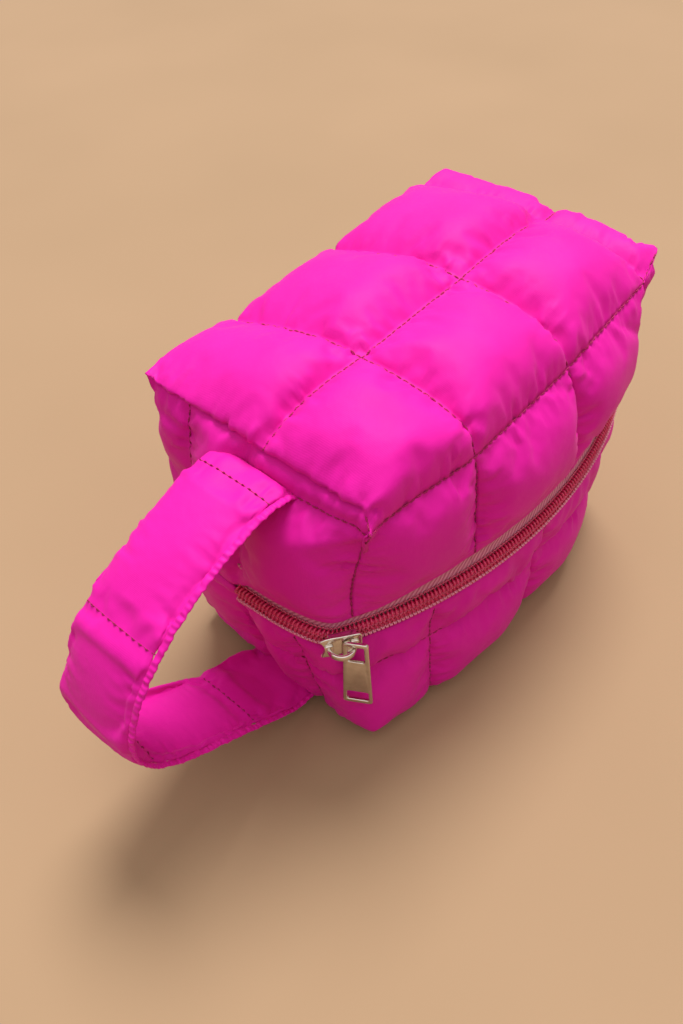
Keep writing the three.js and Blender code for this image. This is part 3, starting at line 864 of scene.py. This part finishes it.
def quilted(panel, names, pressure, swell):
    """The blown-up quilt in pieces, and the final lines of its stitches by group."""
    whole = panel.object_at(panel.verts, panel.name + "_whole")
    share = np.ones(len(panel.verts))
    for row in range(FOLD + 5):
        share[panel.ring[row]] = max(0, row - FOLD) / 5
    for corner in ("near_front", "far_front", "far_back", "near_back"):
        point = panel.verts[panel.ring[-1, panel.mark[corner]]]
        away = np.linalg.norm(panel.verts - point, axis=1)
        share *= CORNER_SHARE + (1 - CORNER_SHARE) * smooth01(away / CORNER_REACH)
    seams = [ids for ids, _, sewn in panel.lines if not sewn]
    flat = coords(whole.data)
    draw_in(whole, [flat[ids] for ids, *_ in panel.lines], VALLEY, VALLEY_REACH, share)
    draw_in(whole, [flat[ids] for ids in seams], SEAM_VALLEY, SEAM_REACH, share)
    panel.verts = coords(whole.data) / MM
    across, up = panel.verts[:, 1], panel.verts[:, 2]
    calm = 1 - BACK_CALM * smooth01((across - 4) / 26) * smooth01((up - 108) / 12)
    blow_up(whole, panel.pinned(), pressure, swell, calm[:, None])
    if panel.overhung is not None:
        overhang(whole, panel)
    crease_edges(whole.data, [ids for ids, *_ in panel.lines], 0.8)
    base = coords(whole.data)
    lines = [(base[ids], group, sewn) for ids, group, sewn in panel.lines]
    gathers = base[panel.gathers] if panel.gathers else ()
    panel.sewn_verts = base / MM
    subdivide(whole)
    pucker(whole, [line for line, *_ in lines], 1.0, 7.5, gathers)
    co, nor = coords(whole.data), normals(whole.data)
    threads = {}
    for ids, group, sewn in panel.lines:
        if sewn:
            threads.setdefault(group, []).extend(stitches(co[ids], nor[ids]))
    pieces = split(whole, names)
    for piece in pieces:
        thicken(piece, NYLON_THICK)
    return pieces, threads


def inset(points, depth):
    """Points moved in from the bag's outer surface, as its layers lie."""
    out = np.array(points, float)
    out[:, 0] *= 1 - depth / -NEAR_END
    out[:, 1] *= 1 - depth / (BACK + 3)
    out[:, 2] = depth + out[:, 2] * (HEIGHT - 2 * depth) / HEIGHT
    return out


def inner_layer(panel, names, depth, thickness, sewn_depth):
    """A layer inside the quilt, whose edge along the zip is sewn at its own depth."""
    verts = inset(panel.verts, depth)
    rows = panel.ring.shape[0]
    sign = -1 if panel.flip else 1
    for row, share in zip(range(rows), (0.0, 0.25, 0.6, 0.85)):
        ids = panel.ring[row, :-1]
        edge = inset(panel.verts[panel.ring[FOLD, :-1]], sewn_depth + (depth - sewn_depth) * share)
        edge[:, 2] = panel.verts[panel.ring[FOLD, :-1], 2] + sign * (0.6 + 1.6 * row)
        verts[ids] = edge
    folds = ripple(verts @ np.array([0.8, 0.5, 0.3]), (17, 31), 4) + ripple(
        verts @ np.array([-0.3, 0.9, 0.6]), (11, 23), 6)
    centre = np.array([0, 0, HEIGHT / 2])
    towards = (centre - verts) / np.linalg.norm(centre - verts, axis=1, keepdims=True)
    verts += towards * (0.35 * folds)[:, None]
    whole = panel.object_at(verts, names[0] + "_whole")
    pieces = split(whole, names)
    for piece in pieces:
        thicken(piece, thickness)
    return pieces


LIPS = ("near", "middle", "far")
# Steps of the seam allowance behind the edge that the lip turns on: inward and down from the edge.
ALLOWANCE = ((0.9, -0.3), (1.9, -1.6), (2.6, -4.5), (2.6, -9.0))


def seam_allowance(panel):
    """The two cloths' turned-in edges, which hang inside the seam that the mouth's lip turns on."""
    edge = panel.sewn_verts[panel.ring[-1, panel.mark["near_front"]: panel.mark["front_3"] + 1]]
    wave = 0.25 * ripple(edge[:, 0], (5.3, 8.9, 21), 12)
    rows = [edge + np.array([0, inward, down]) + wave[:, None] * (0, depth, 0)
            for depth, (inward, down) in enumerate(ALLOWANCE)]
    grid = np.array(rows)
    piece, _ = sheet("mouth_seam_allowance", grid, grid[..., [0, 2]], flip=True)
    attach(finish_piece(thicken(piece, NYLON_THICK), NYLON, "nylon"), "root")


def upper_pieces(panel):
    names = ["quilt_upper"] + ["quilt_lip_" + n for n in LIPS]
    quilt, threads = quilted(panel, names, *UPPER_CLOTH)
    for piece in quilt:
        finish_piece(piece, NYLON, "nylon")
    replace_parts(quilt[0], "outer_upper")
    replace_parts(quilt[2], "outer_lip")
    lining = inner_layer(panel, ["lining_roof"] + ["lining_lip_" + n for n in LIPS], *LINING_LAYER)
    wadding = inner_layer(panel, ["wadding_roof"] + ["wadding_lip_" + n for n in LIPS], *WADDING_LAYER)
    for piece in lining:
        finish_piece(piece, LINING, "lining")
    for piece in wadding:
        finish_piece(piece, WADDING, "wadding")
    for layer, kind in ((lining, "lining"), (wadding, "wadding")):
        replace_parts(layer[0], kind + "_upper")
        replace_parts(layer[2], kind + "_lip")
    for pieces in (quilt, lining, wadding):
        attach(pieces[0], "root")
        move_lip_pieces(*pieces[1:])
    seam_allowance(panel)
    return threads


def lower_pieces(panel):
    (quilt,), threads = quilted(panel, ["quilt_lower"], *LOWER_CLOTH)
    co = coords(quilt.data)
    co[:, 2] = np.maximum(co[:, 2], 0.3 * MM)
    set_coords(quilt.data, co)
    finish_piece(quilt, NYLON, "nylon", "outer_lower")
    (lining,) = inner_layer(panel, ["lining_floor"], *LINING_LAYER)
    (wadding,) = inner_layer(panel, ["wadding_floor"], *WADDING_LAYER)
    finish_piece(lining, LINING, "lining", "lining_lower")
    finish_piece(wadding, WADDING, "wadding", "wadding_lower")
    for piece in (quilt, lining, wadding):
        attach(piece, "root")
    return threads


upper_threads = upper_pieces(upper_quilt())
lower_threads = lower_pieces(lower_quilt())
thread_root = gather("quilting_thread", upper_threads["root"] + lower_threads["root"])
thread_lip = gather("quilting_thread_lip", upper_threads["lip"])
for piece, body in ((thread_root, "root"), (thread_lip, "lip")):
    finish_piece(piece, THREAD, "thread")
    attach(piece, body)

# --- the zip -------------------------------------------------------------------------------------
PITCH = 1.45                  # one turn of the coil
WIRE = 0.40                   # the coil's wire, half its thickness
CORD = 1.0                    # the cord inside each row of the coil, half its thickness
COIL_DEPTH, COIL_RISE = 0.5, 1.1      # middle of the coil below the cloth, and half its height
COIL_MIDDLE, COIL_HALF = 1.75, 1.75   # middle of each row from the zip's centreline, and half its width
TAPE_DEPTH, TAPE_THICK = 1.75, 0.45
TAPE_ROWS = {1: 14, -1: 11}           # rows of each tape's grid; the upper one shows more
THREAD_ROW = {1: 2.3, -1: 1.15}       # how far each row of threads over the coil is from the middle
BEAD = {1: 0.25, -1: 0.40}            # half the thickness of those threads
ZIP_MARGIN = 0.3              # the coil stops this far short of the end seams
TAPE_TAIL = 3.0               # and the tape runs on under the cloth past them
NEAR_CUT, FAR_CUT = waist_x(LIP_NEAR[1]), waist_x(LIP_FAR[0])


def stretches(sign, margin):
    """The lengths of zip in each half: the upper half is cut where the lip's pieces are."""
    cuts = (margin, NEAR_CUT, FAR_CUT, ZIP.length - margin)
    return list(zip(cuts[:-1], cuts[1:])) if sign > 0 else [(margin, ZIP.length - margin)]


def zip_point(s, depth, z):
    """Points along the zip, at a depth below the cloth and a height from the zip's centreline."""
    s = s % WAIST.length
    return np.column_stack([WAIST.at(s) + WAIST.inward(s) * np.asarray(depth)[..., None], ZIP_Z + z])


def zip_tape(name, stretch, sign):
    s = np.linspace(*stretch, int((stretch[1] - stretch[0]) / 0.9) + 1)
    heights = np.array([0.4, 1.2, 2.2, 3.2, 3.9, 4.6, 5.4, 6.3, 7.3, 8.4, 9.5, 10.6, 11.7, 12.8])
    heights = heights[: TAPE_ROWS[sign]]
    rows = []
    for z in heights:
        slack = smooth01((z - 3.6) / 3.5)
        sag = 0.22 * slack * ripple(s + 2 * z, (9.3, 14.7), 8) + (1.05 if sign > 0 else -0.25) * slack
        rows.append(zip_point(s, TAPE_DEPTH + sag, np.full(len(s), sign * z)))
    uv = np.dstack(np.meshgrid(s, sign * heights))
    tape, _ = sheet(name, np.array(rows), uv, flip=sign < 0)
    return finish_piece(thicken(tape, TAPE_THICK), TAPE, "zip_tape")


def zip_coil(name, stretch, sign):
    """One row of the coil: a flattened spiral whose turns reach just past the zip's centreline."""
    first, last = round(stretch[0] / PITCH), round(stretch[1] / PITCH)
    turn = np.linspace(first, last, (last - first) * 14 + 1)
    phase = 2 * math.pi * turn + (math.pi if sign < 0 else 0)
    s = turn * PITCH
    cos, sin = np.cos(phase), np.sin(phase)
    flat = np.sign(sin) * np.abs(sin) ** 0.8
    path = zip_point(s, COIL_DEPTH - COIL_RISE * flat, sign * (COIL_MIDDLE - COIL_HALF * cos))
    along = np.column_stack([ZIP.tangent(s), np.zeros(len(s))])
    inside = np.arange(s[0], s[-1], 1.0)
    cord = zip_point(inside, np.full(len(inside), COIL_DEPTH), np.full(len(inside), sign * COIL_MIDDLE))
    coil = gather(name, [tube(path, WIRE, across=along, sides=5), tube(cord, CORD, sides=8)])
    return finish_piece(coil, COIL, "zip_coil")


def coil_stitching(name, stretch, sign):
    """The threads that hold the coil down, one over each turn, and the chain stitch beside them."""
    pieces = []
    front = COIL_DEPTH - COIL_RISE - WIRE
    first, last = round(stretch[0] / PITCH), round(stretch[1] / PITCH)
    for k in range(first, last):
        s = (k + 0.25 + (0.5 if sign < 0 else 0) + np.linspace(-0.36, 0.36, 4)) * PITCH
        depth = front + np.array([0.42, -0.1, -0.1, 0.42]) + min(sign, 0) * 0.12
        slant = np.linspace(-0.22, 0.22, 4)
        path = zip_point(s, depth, sign * (THREAD_ROW[sign] + slant))
        pieces.append(tube(path, BEAD[sign] * np.array([0.7, 1, 1, 0.7]), sides=5))
    s = np.arange(stretch[0], stretch[1], PITCH / 6)
    zigzag = sign * (3.95 + 0.30 * np.sin(2 * math.pi * s / PITCH))
    path = zip_point(s, np.full(len(s), TAPE_DEPTH - 0.35) - 0.1 * np.cos(4 * math.pi * s / PITCH), zigzag)
    pieces.append(tube(path, 0.26, sides=5))
    # the lower half's beads are pale pink, a painted highlight along the middle of the coil; the upper
    # half's are crimson
    return finish_piece(gather(name, pieces), COIL_THREAD if sign > 0 else ZIP_THREAD_PALE_AND_PAINTED_HIGHLIGHT, "thread")


def add_zip():
    makers = ((zip_tape, "zip_tape", -TAPE_TAIL), (zip_coil, "zip_coil", ZIP_MARGIN),
              (coil_stitching, "coil_stitching", ZIP_MARGIN))
    for make, node, margin in makers:
        (whole,) = stretches(-1, margin)
        lower = make(node + "_below", whole, -1)
        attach(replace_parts(lower, node + "_lower"), "root")
        upper = [make(f"{node}_above_{part}", stretch, 1)
                 for part, stretch in zip(LIPS, stretches(1, margin))]
        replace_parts(upper[1], node + "_upper")
        move_lip_pieces(*upper)


add_zip()

# --- the slider and its puller ---------------------------------------------------------------------
# These are drawn in the slider's own frame: +X towards the closed zip, -Y out of the bag, +Z up.
SLIDER_ANGLE, SLIDER_TURN = math.radians(-119.6), math.radians(-36.5)
SLIDER_LENGTH, SLIDER_MOUTH, SLIDER_TAIL = 13.4, 10.6, 9.0
PLATE, FRONT_PLATE, BACK_PLATE = 1.1, -2.0, 5.4
BAIL_LENGTH, BAIL_RISE, BAIL_WIRE, BAIL_WIDTH, BAIL_FOOT = 10.0, 5.3, 1.25, 2.2, 0.6
SLIDER_SHIFT = -1.6           # the metal sits this much nearer the open end than the slider's middle
PULLER_X, PULLER_DEPTH, PULLER_THICK = 2.4, -5.3, 1.3
PULLER_TWIST = math.radians(-24)                      # it hangs with its far edge standing out
PULLER_OUTLINE = ((3.2, 8.0), (-33.0, 10.2))          # (height, width) of its top and bottom
PULLER_WINDOWS = (((1.6, 5.2), (-7.2, 5.6)), ((-25.6, 7.2), (-31.2, 7.7)))
FACE_ON = Matrix.Rotation(math.pi / 2, 4, "X")        # turns a plate's outline upright, to face -Y
EDGE_ON = Matrix.Rotation(math.pi, 4, "X")            # lays an outline level, with its +Y out of the bag


def rounded(points, radius, steps=5):
    """A closed outline with its corners rounded."""
    points = np.asarray(points, float)
    out = []
    for before, here, after in zip(np.roll(points, 1, 0), points, np.roll(points, -1, 0)):
        a = here + (before - here) * radius / np.linalg.norm(before - here)
        b = here + (after - here) * radius / np.linalg.norm(after - here)
        out.append(quadratic(a, here, b, steps))
    return np.vstack(out)


def trapezoid(ends, radius):
    (top, top_width), (bottom, bottom_width) = ends
    a, b = top_width / 2, bottom_width / 2
    return rounded([(-b, bottom), (b, bottom), (a, top), (-a, top)], radius)


def plate(loops, thickness, bevel, turn, offset):
    """A flat plate with rounded edges; the first loop is its outline and the others are holes."""
    curve = bpy.data.curves.new("plate", "CURVE")
    curve.dimensions = "2D"
    curve.fill_mode = "BOTH"
    for loop in loops:
        spline = curve.splines.new("POLY")
        spline.points.add(len(loop) - 1)
        points = np.column_stack([loop * MM, np.zeros(len(loop)), np.ones(len(loop))])
        spline.points.foreach_set("co", points.ravel())
        spline.use_cyclic_u = True
    curve.extrude = (thickness / 2 - bevel) * MM
    curve.bevel_depth = bevel * MM
    curve.bevel_resolution = 3
    curve.offset = -bevel * MM
    obj = link("plate", curve)
    mesh = bpy.data.meshes.new_from_object(obj.evaluated_get(bpy.context.evaluated_depsgraph_get()))
    bpy.data.objects.remove(obj)
    mesh.transform(Matrix.Translation(Vector(offset) * MM) @ turn)
    return mesh


def metal_piece(name, meshes, shift):
    """Joins plates into one piece, and puts it in its place on the zip."""
    bm = bmesh.new()
    for mesh in meshes:
        bm.from_mesh(mesh)
    bmesh.ops.remove_doubles(bm, verts=bm.verts, dist=0.01 * MM)
    centre = bow(np.array([SLIDER_ANGLE]))[0]
    place = Matrix.Translation(Vector((*centre, ZIP_Z)) * MM) @ Matrix.Rotation(SLIDER_TURN, 4, "Z")
    place = place @ shift
    bmesh.ops.transform(bm, matrix=place, verts=bm.verts)
    mesh = bpy.data.meshes.new(name)
    bm.to_mesh(mesh)
    bm.free()
    mesh.shade_smooth()
    mesh.set_sharp_from_angle(angle=math.radians(50))
    return link(name, mesh)


def slider_outline():
    half, mouth, tail = SLIDER_LENGTH / 2, SLIDER_MOUTH / 2, SLIDER_TAIL / 2
    side = np.vstack([quadratic((-half, mouth * 0.8), (-half * 0.7, mouth), (0, tail + 0.2), 10),
                      quadratic((half - 1.6, tail), (half, tail), (half, tail - 1.6), 6)])
    return np.vstack([side, side[::-1] * [1, -1], [[-half + 1.6, 0]]])


def bail_outline():
    """The arch that the puller hangs on, seen from above, with feet that spread on the plate."""
    angle = np.linspace(0, math.pi, 25)
    half, inside = BAIL_LENGTH / 2, BAIL_LENGTH / 2 - BAIL_WIRE
    arch = np.stack([np.cos(angle), np.sin(angle)], -1)
    outer, inner = arch * [half, BAIL_RISE], arch * [inside, BAIL_RISE - BAIL_WIRE]
    near_foot = [[-half, -BAIL_FOOT], [-inside, -BAIL_FOOT]]
    far_foot = [[inside, -BAIL_FOOT], [half, -BAIL_FOOT]]
    return np.vstack([outer, near_foot, inner[::-1], far_foot])


def box_loop(half_x, half_y, radius):
    return rounded([(-half_x, -half_y), (half_x, -half_y), (half_x, half_y), (-half_x, half_y)], radius)


def add_slider():
    front = FRONT_PLATE - PLATE
    outline = slider_outline()
    meshes = [
        plate([outline], PLATE, 0.4, FACE_ON, (0, front + PLATE / 2, 0)),
        plate([outline], PLATE, 0.4, FACE_ON, (0, BACK_PLATE + PLATE / 2, 0)),
        plate([bail_outline()], BAIL_WIDTH, 0.45, EDGE_ON, (0, front + 0.3, 0)),
        plate([box_loop(1.4, 0.6, 0.5)], BACK_PLATE - front - 0.6, 0.1, FACE_ON,
              (-4.1, (BACK_PLATE + front) / 2 + 0.5, 0)),
    ]
    for x in (-1, 1):
        foot = box_loop(1.5, 2.0, 0.9)
        meshes.append(plate([foot], 1.0, 0.4, FACE_ON, (x * (BAIL_LENGTH / 2 - 0.9), front - 0.2, 0)))
    for z in (-1, 1):
        flange = box_loop(4.6, 0.45, 0.3)
        meshes.append(plate([flange], 1.9, 0.25, FACE_ON, (0.6, FRONT_PLATE + 0.35, z * 4.05)))
        meshes.append(plate([flange], 1.5, 0.25, FACE_ON, (0.6, BACK_PLATE - 0.35, z * 4.05)))
    shift = Matrix.Translation(Vector((SLIDER_SHIFT, 0, 0)) * MM)
    body = finish_piece(metal_piece("zip_slider", meshes, shift), NICKEL, "nickel", "slider_body")
    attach(body, "slider")
    loops = [trapezoid(PULLER_OUTLINE, 1.5)] + [trapezoid(w, 0.8) for w in PULLER_WINDOWS]
    hang = Matrix.Translation(Vector((PULLER_X, PULLER_DEPTH, 0)) * MM)
    hang = hang @ Matrix.Rotation(PULLER_TWIST, 4, "Z")
    puller = metal_piece("zip_puller", [plate(loops, PULLER_THICK, 0.36, FACE_ON, (0, 0, 0))], hang)
    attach(finish_piece(puller, NICKEL, "nickel", "puller"), "puller")


add_slider()

# --- the carrying loop -----------------------------------------------------------------------------
STRAP_Y = -1.6
STRAP_HALF = 15.0             # half the padded width; the sewn ridge stands on its -Y edge
STRAP_ROUTE = [
    (-65, 108), (-72, 112), (-79, 115), (-86, 115.8), (-95, 114.3), (-105, 111.3), (-115, 107), (-126, 100),
    (-136.5, 90), (-143, 79.5), (-146, 69), (-144, 57.5), (-137.5, 47.5), (-128.5, 39), (-119, 32),
    (-107, 23), (-94, 13), (-86.6, 7.8), (-79, 5.6), (-73, 5.4),
]
STRAP_STEP = 2.1
LOOP_CLOTH = (4, 0.02)        # its pressure, and the share that its cloth grows by
STRAP_AROUND = 44
RIDGE_STEP, RIDGE_AROUND, RIDGE_GIRTH = 0.45, 12, 7.0
SEAM_S = 7.2                  # the strap leaves the box seam this far along its route
CROSS_LINES = [SEAM_S + d for d in (12, 63, 114, 164)]


def smooth_route(points, count=12):
    """A Catmull-Rom curve through the points."""
    p = np.asarray(points, float)
    p = np.vstack([2 * p[0] - p[1], p, 2 * p[-1] - p[-2]])
    t = np.linspace(0, 1, count, endpoint=False)[:, None]
    spans = []
    for a, b, c, d in zip(p[:-3], p[1:-2], p[2:-1], p[3:]):
        square, cube = 2 * a - 5 * b + 4 * c - d, 3 * b - a - 3 * c + d
        spans.append(0.5 * (2 * b + (c - a) * t + square * t ** 2 + cube * t ** 3))
    return Line(np.vstack([*spans, p[-2:-1]]))


STRAP = smooth_route(STRAP_ROUTE)


def strap_point(s, across, out):
    """Points on the strap: along it, across it from its middle, and out from the loop."""
    middle, t = STRAP.at(s), STRAP.tangent(s, 1.0)
    xz = middle + np.stack([t[..., 1], -t[..., 0]], -1) * np.asarray(out)[..., None]
    return np.stack([xz[..., 0], STRAP_Y + across + 0 * s, xz[..., 1]], -1)


def strap_stations():
    """Arc lengths of the strap's rings, with one on each line of stitches."""
    stops = [0.0, *CROSS_LINES, STRAP.length]
    spans = [np.linspace(a, b, max(2, round((b - a) / STRAP_STEP)), endpoint=False)
             for a, b in zip(stops[:-1], stops[1:])]
    return np.concatenate([*spans, [STRAP.length]]), np.cumsum([len(s) for s in spans])[:-1]


def strap_body():
    s, sewn = strap_stations()
    away = np.min(np.abs(s[:, None] - np.array(CROSS_LINES)), axis=1)
    ends = smooth01(np.minimum(s - 4, STRAP.length - s) / 14)
    half_thick = (1.2 + 3.7 * smooth01(away / 7)) * (0.45 + 0.55 * ends)
    half_wide = STRAP_HALF - 1.0 + 1.0 * smooth01(away / 5)
    angle = np.linspace(0, 2 * math.pi, STRAP_AROUND, endpoint=False)
    cos, sin = np.cos(angle), np.sin(angle)
    across = half_wide[:, None] * np.sign(cos) * np.abs(cos) ** 0.8
    out = half_thick[:, None] * np.sign(sin) * np.abs(sin) ** 0.9
    rings = strap_point(s[:, None] + 0 * across, across, out)
    around = np.r_[angle, 2 * math.pi] * STRAP_HALF / 1.6
    uv = np.dstack(np.meshgrid(around, s)[::-1])
    body, index = sheet("carrying_loop", rings, uv)
    edge = STRAP_AROUND // 2              # the column on the sewn -Y edge
    held = set(index[0]) | set(index[-1]) | set(index[:, edge])
    for row in sewn:
        held |= set(index[row])
    return body, index, sewn, edge, sorted(int(i) for i in held)


def strap_ridge():
    """The gathered ridge of the seam along the strap's -Y edge."""
    s = np.arange(2, STRAP.length - 2, RIDGE_STEP)
    middle = -STRAP_HALF - 0.7 + 0.2 * ripple(s, (2.3, 5.3, 8.1), 21)
    out = 0.1 + 0.3 * ripple(s, (1.9, 3.1, 12.0), 22)
    angle = np.linspace(0, 2 * math.pi, RIDGE_AROUND, endpoint=False)
    wide = 1.25 + 0.2 * ripple(s, (1.7, 3.1, 7.3), 23)
    thick = 0.6 + 0.2 * ripple(s, (2.1, 4.3), 24)
    across = middle[:, None] + wide[:, None] * np.cos(angle)
    lift = out[:, None] + thick[:, None] * np.sin(angle)
    rings = strap_point(s[:, None] + 0 * across, across, lift)
    uv = np.dstack(np.meshgrid(np.linspace(0, RIDGE_GIRTH, RIDGE_AROUND + 1), s)[::-1])
    return sheet("seam_ridge", rings, uv)[0]


def cap_ends(mesh):
    bm = bmesh.new()
    bm.from_mesh(mesh)
    bmesh.ops.holes_fill(bm, edges=[e for e in bm.edges if e.is_boundary], sides=0)
    bmesh.ops.recalc_face_normals(bm, faces=bm.faces)
    bm.to_mesh(mesh)
    bm.free()


def add_strap():
    body, index, sewn, edge, held = strap_body()
    blow_up(body, held, *LOOP_CLOTH, frames=16, cap=3.0)
    base = coords(body.data)
    lines = [base[index[row]] for row in sewn]
    crease_edges(body.data, [index[row] for row in sewn], 0.5)
    subdivide(body)
    pucker(body, lines + [base[index[:, edge]], base[index[:, 0]]], 0.55, 8.0)
    co, nor = coords(body.data), normals(body.data)
    threads = []
    for row in sewn:
        for ids in (index[row, 1: edge + 1], index[row, edge + 1: -1]):
            threads += stitches(co[ids], nor[ids])
    ridge = strap_ridge()
    ridge = subdivide(ridge)
    for piece in (body, ridge):
        cap_ends(piece.data)
        finish_piece(piece, NYLON, "nylon")
    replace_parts(body, "handle_cover", "handle_wadding", "handle_end_top", "handle_end_bottom")
    thread = finish_piece(gather("quilting_thread_loop", threads), THREAD, "thread")
    for piece in (body, ridge, thread):
        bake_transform(piece)


add_strap()

# --- seam bindings ---------------------------------------------------------------------------------


def add_bindings():
    """Folded tapes over the raw seams inside, each a softened form of its CAD strip."""
    for name, node in sorted(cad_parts.items()):
        if not name.startswith("binding_"):
            continue
        piece = link(name.replace("binding_", "seam_tape_"), node.data.copy())
        weld = piece.modifiers.new("weld", "WELD")
        weld.merge_threshold = 0.01 * MM
        bevel = piece.modifiers.new("round", "BEVEL")
        bevel.width, bevel.segments = 0.35 * MM, 3
        remesh = piece.modifiers.new("even", "REMESH")
        remesh.mode, remesh.voxel_size = "VOXEL", 0.45 * MM
        apply_modifiers(piece)
        mesh = piece.data
        co, nor = coords(mesh), normals(mesh)
        wave = ripple(co @ np.array([900.0, 1100.0, 1000.0]), (5.3, 8.9, 13.0), 31)
        set_coords(mesh, co + nor * (0.22 * MM * wave)[:, None])
        mesh.shade_smooth()
        finish_piece(piece, BINDING, "binding", name)
        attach(piece, "root")


add_bindings()

# --- camera, light and floor ---------------------------------------------------------------------


def add_camera():
    """The view that the bag is shown from: from above, on the loop's and the zip's side."""
    cam = bpy.data.cameras.new("camera")
    cam.sensor_fit = "VERTICAL"
    cam.sensor_height = 36
    cam.lens = 30.18
    cam.clip_start = 0.01
    obj = link("camera", cam)
    azimuth, elevation, roll = (math.radians(v) for v in (-47.115, 49.188, -3.296))
    back = Vector((math.sin(azimuth) * math.cos(elevation), -math.cos(azimuth) * math.cos(elevation),
                   math.sin(elevation)))
    level = Vector((math.cos(azimuth), math.sin(azimuth), 0))
    upright = back.cross(level)
    right = math.cos(roll) * level + math.sin(roll) * upright
    up = -math.sin(roll) * level + math.cos(roll) * upright
    turn = Matrix((right, up, back)).transposed().to_4x4()
    obj.matrix_world = Matrix.Translation(right * -0.02586 + up * 0.01734 + back * 0.36938) @ turn
    bpy.context.scene.camera = obj


def add_sun(direction, energy, angle):
    """One soft main light, from a direction and as wide as an angle in degrees."""
    lamp = bpy.data.lights.new("key", "SUN")
    lamp.energy = energy
    lamp.angle = math.radians(angle)
    obj = link("key", lamp)
    obj.rotation_euler = (-Vector(direction)).to_track_quat("-Z", "Y").to_euler()


def add_surroundings():
    bpy.ops.mesh.primitive_plane_add(size=6)
    floor = bpy.context.object
    floor.name = "floor"
    look = Look("floor_paper", (0.33, 0.215, 0.125), 0.8, specular_ior_level=0.2)
    look.color(look.noise(6, 2), (0.325, 0.212, 0.123), (0.345, 0.225, 0.132))
    floor.data.materials.append(look.mat)
    add_sun((0.44, 0.22, 1.0), 3.6, 26)
    world = bpy.data.worlds.new("world")
    world.use_nodes = True
    nodes, links = world.node_tree.nodes, world.node_tree.links
    # the room is bright overhead and beige and dim towards the horizon
    height, sky = nodes.new("ShaderNodeSeparateXYZ"), nodes.new("ShaderNodeValToRGB")
    sky.color_ramp.elements[0].color = (0.12, 0.08, 0.05, 1)
    sky.color_ramp.elements[1].color = (1.0, 0.97, 0.95, 1)
    nodes["Background"].inputs["Strength"].default_value = 1.25
    links.new(nodes.new("ShaderNodeTexCoord").outputs["Generated"], height.inputs["Vector"])
    links.new(height.outputs["Z"], sky.inputs["Fac"])
    links.new(sky.outputs["Color"], nodes["Background"].inputs["Color"])
    bpy.context.scene.world = world
    bpy.context.scene.view_settings.view_transform = "Standard"


add_camera()
add_surroundings()
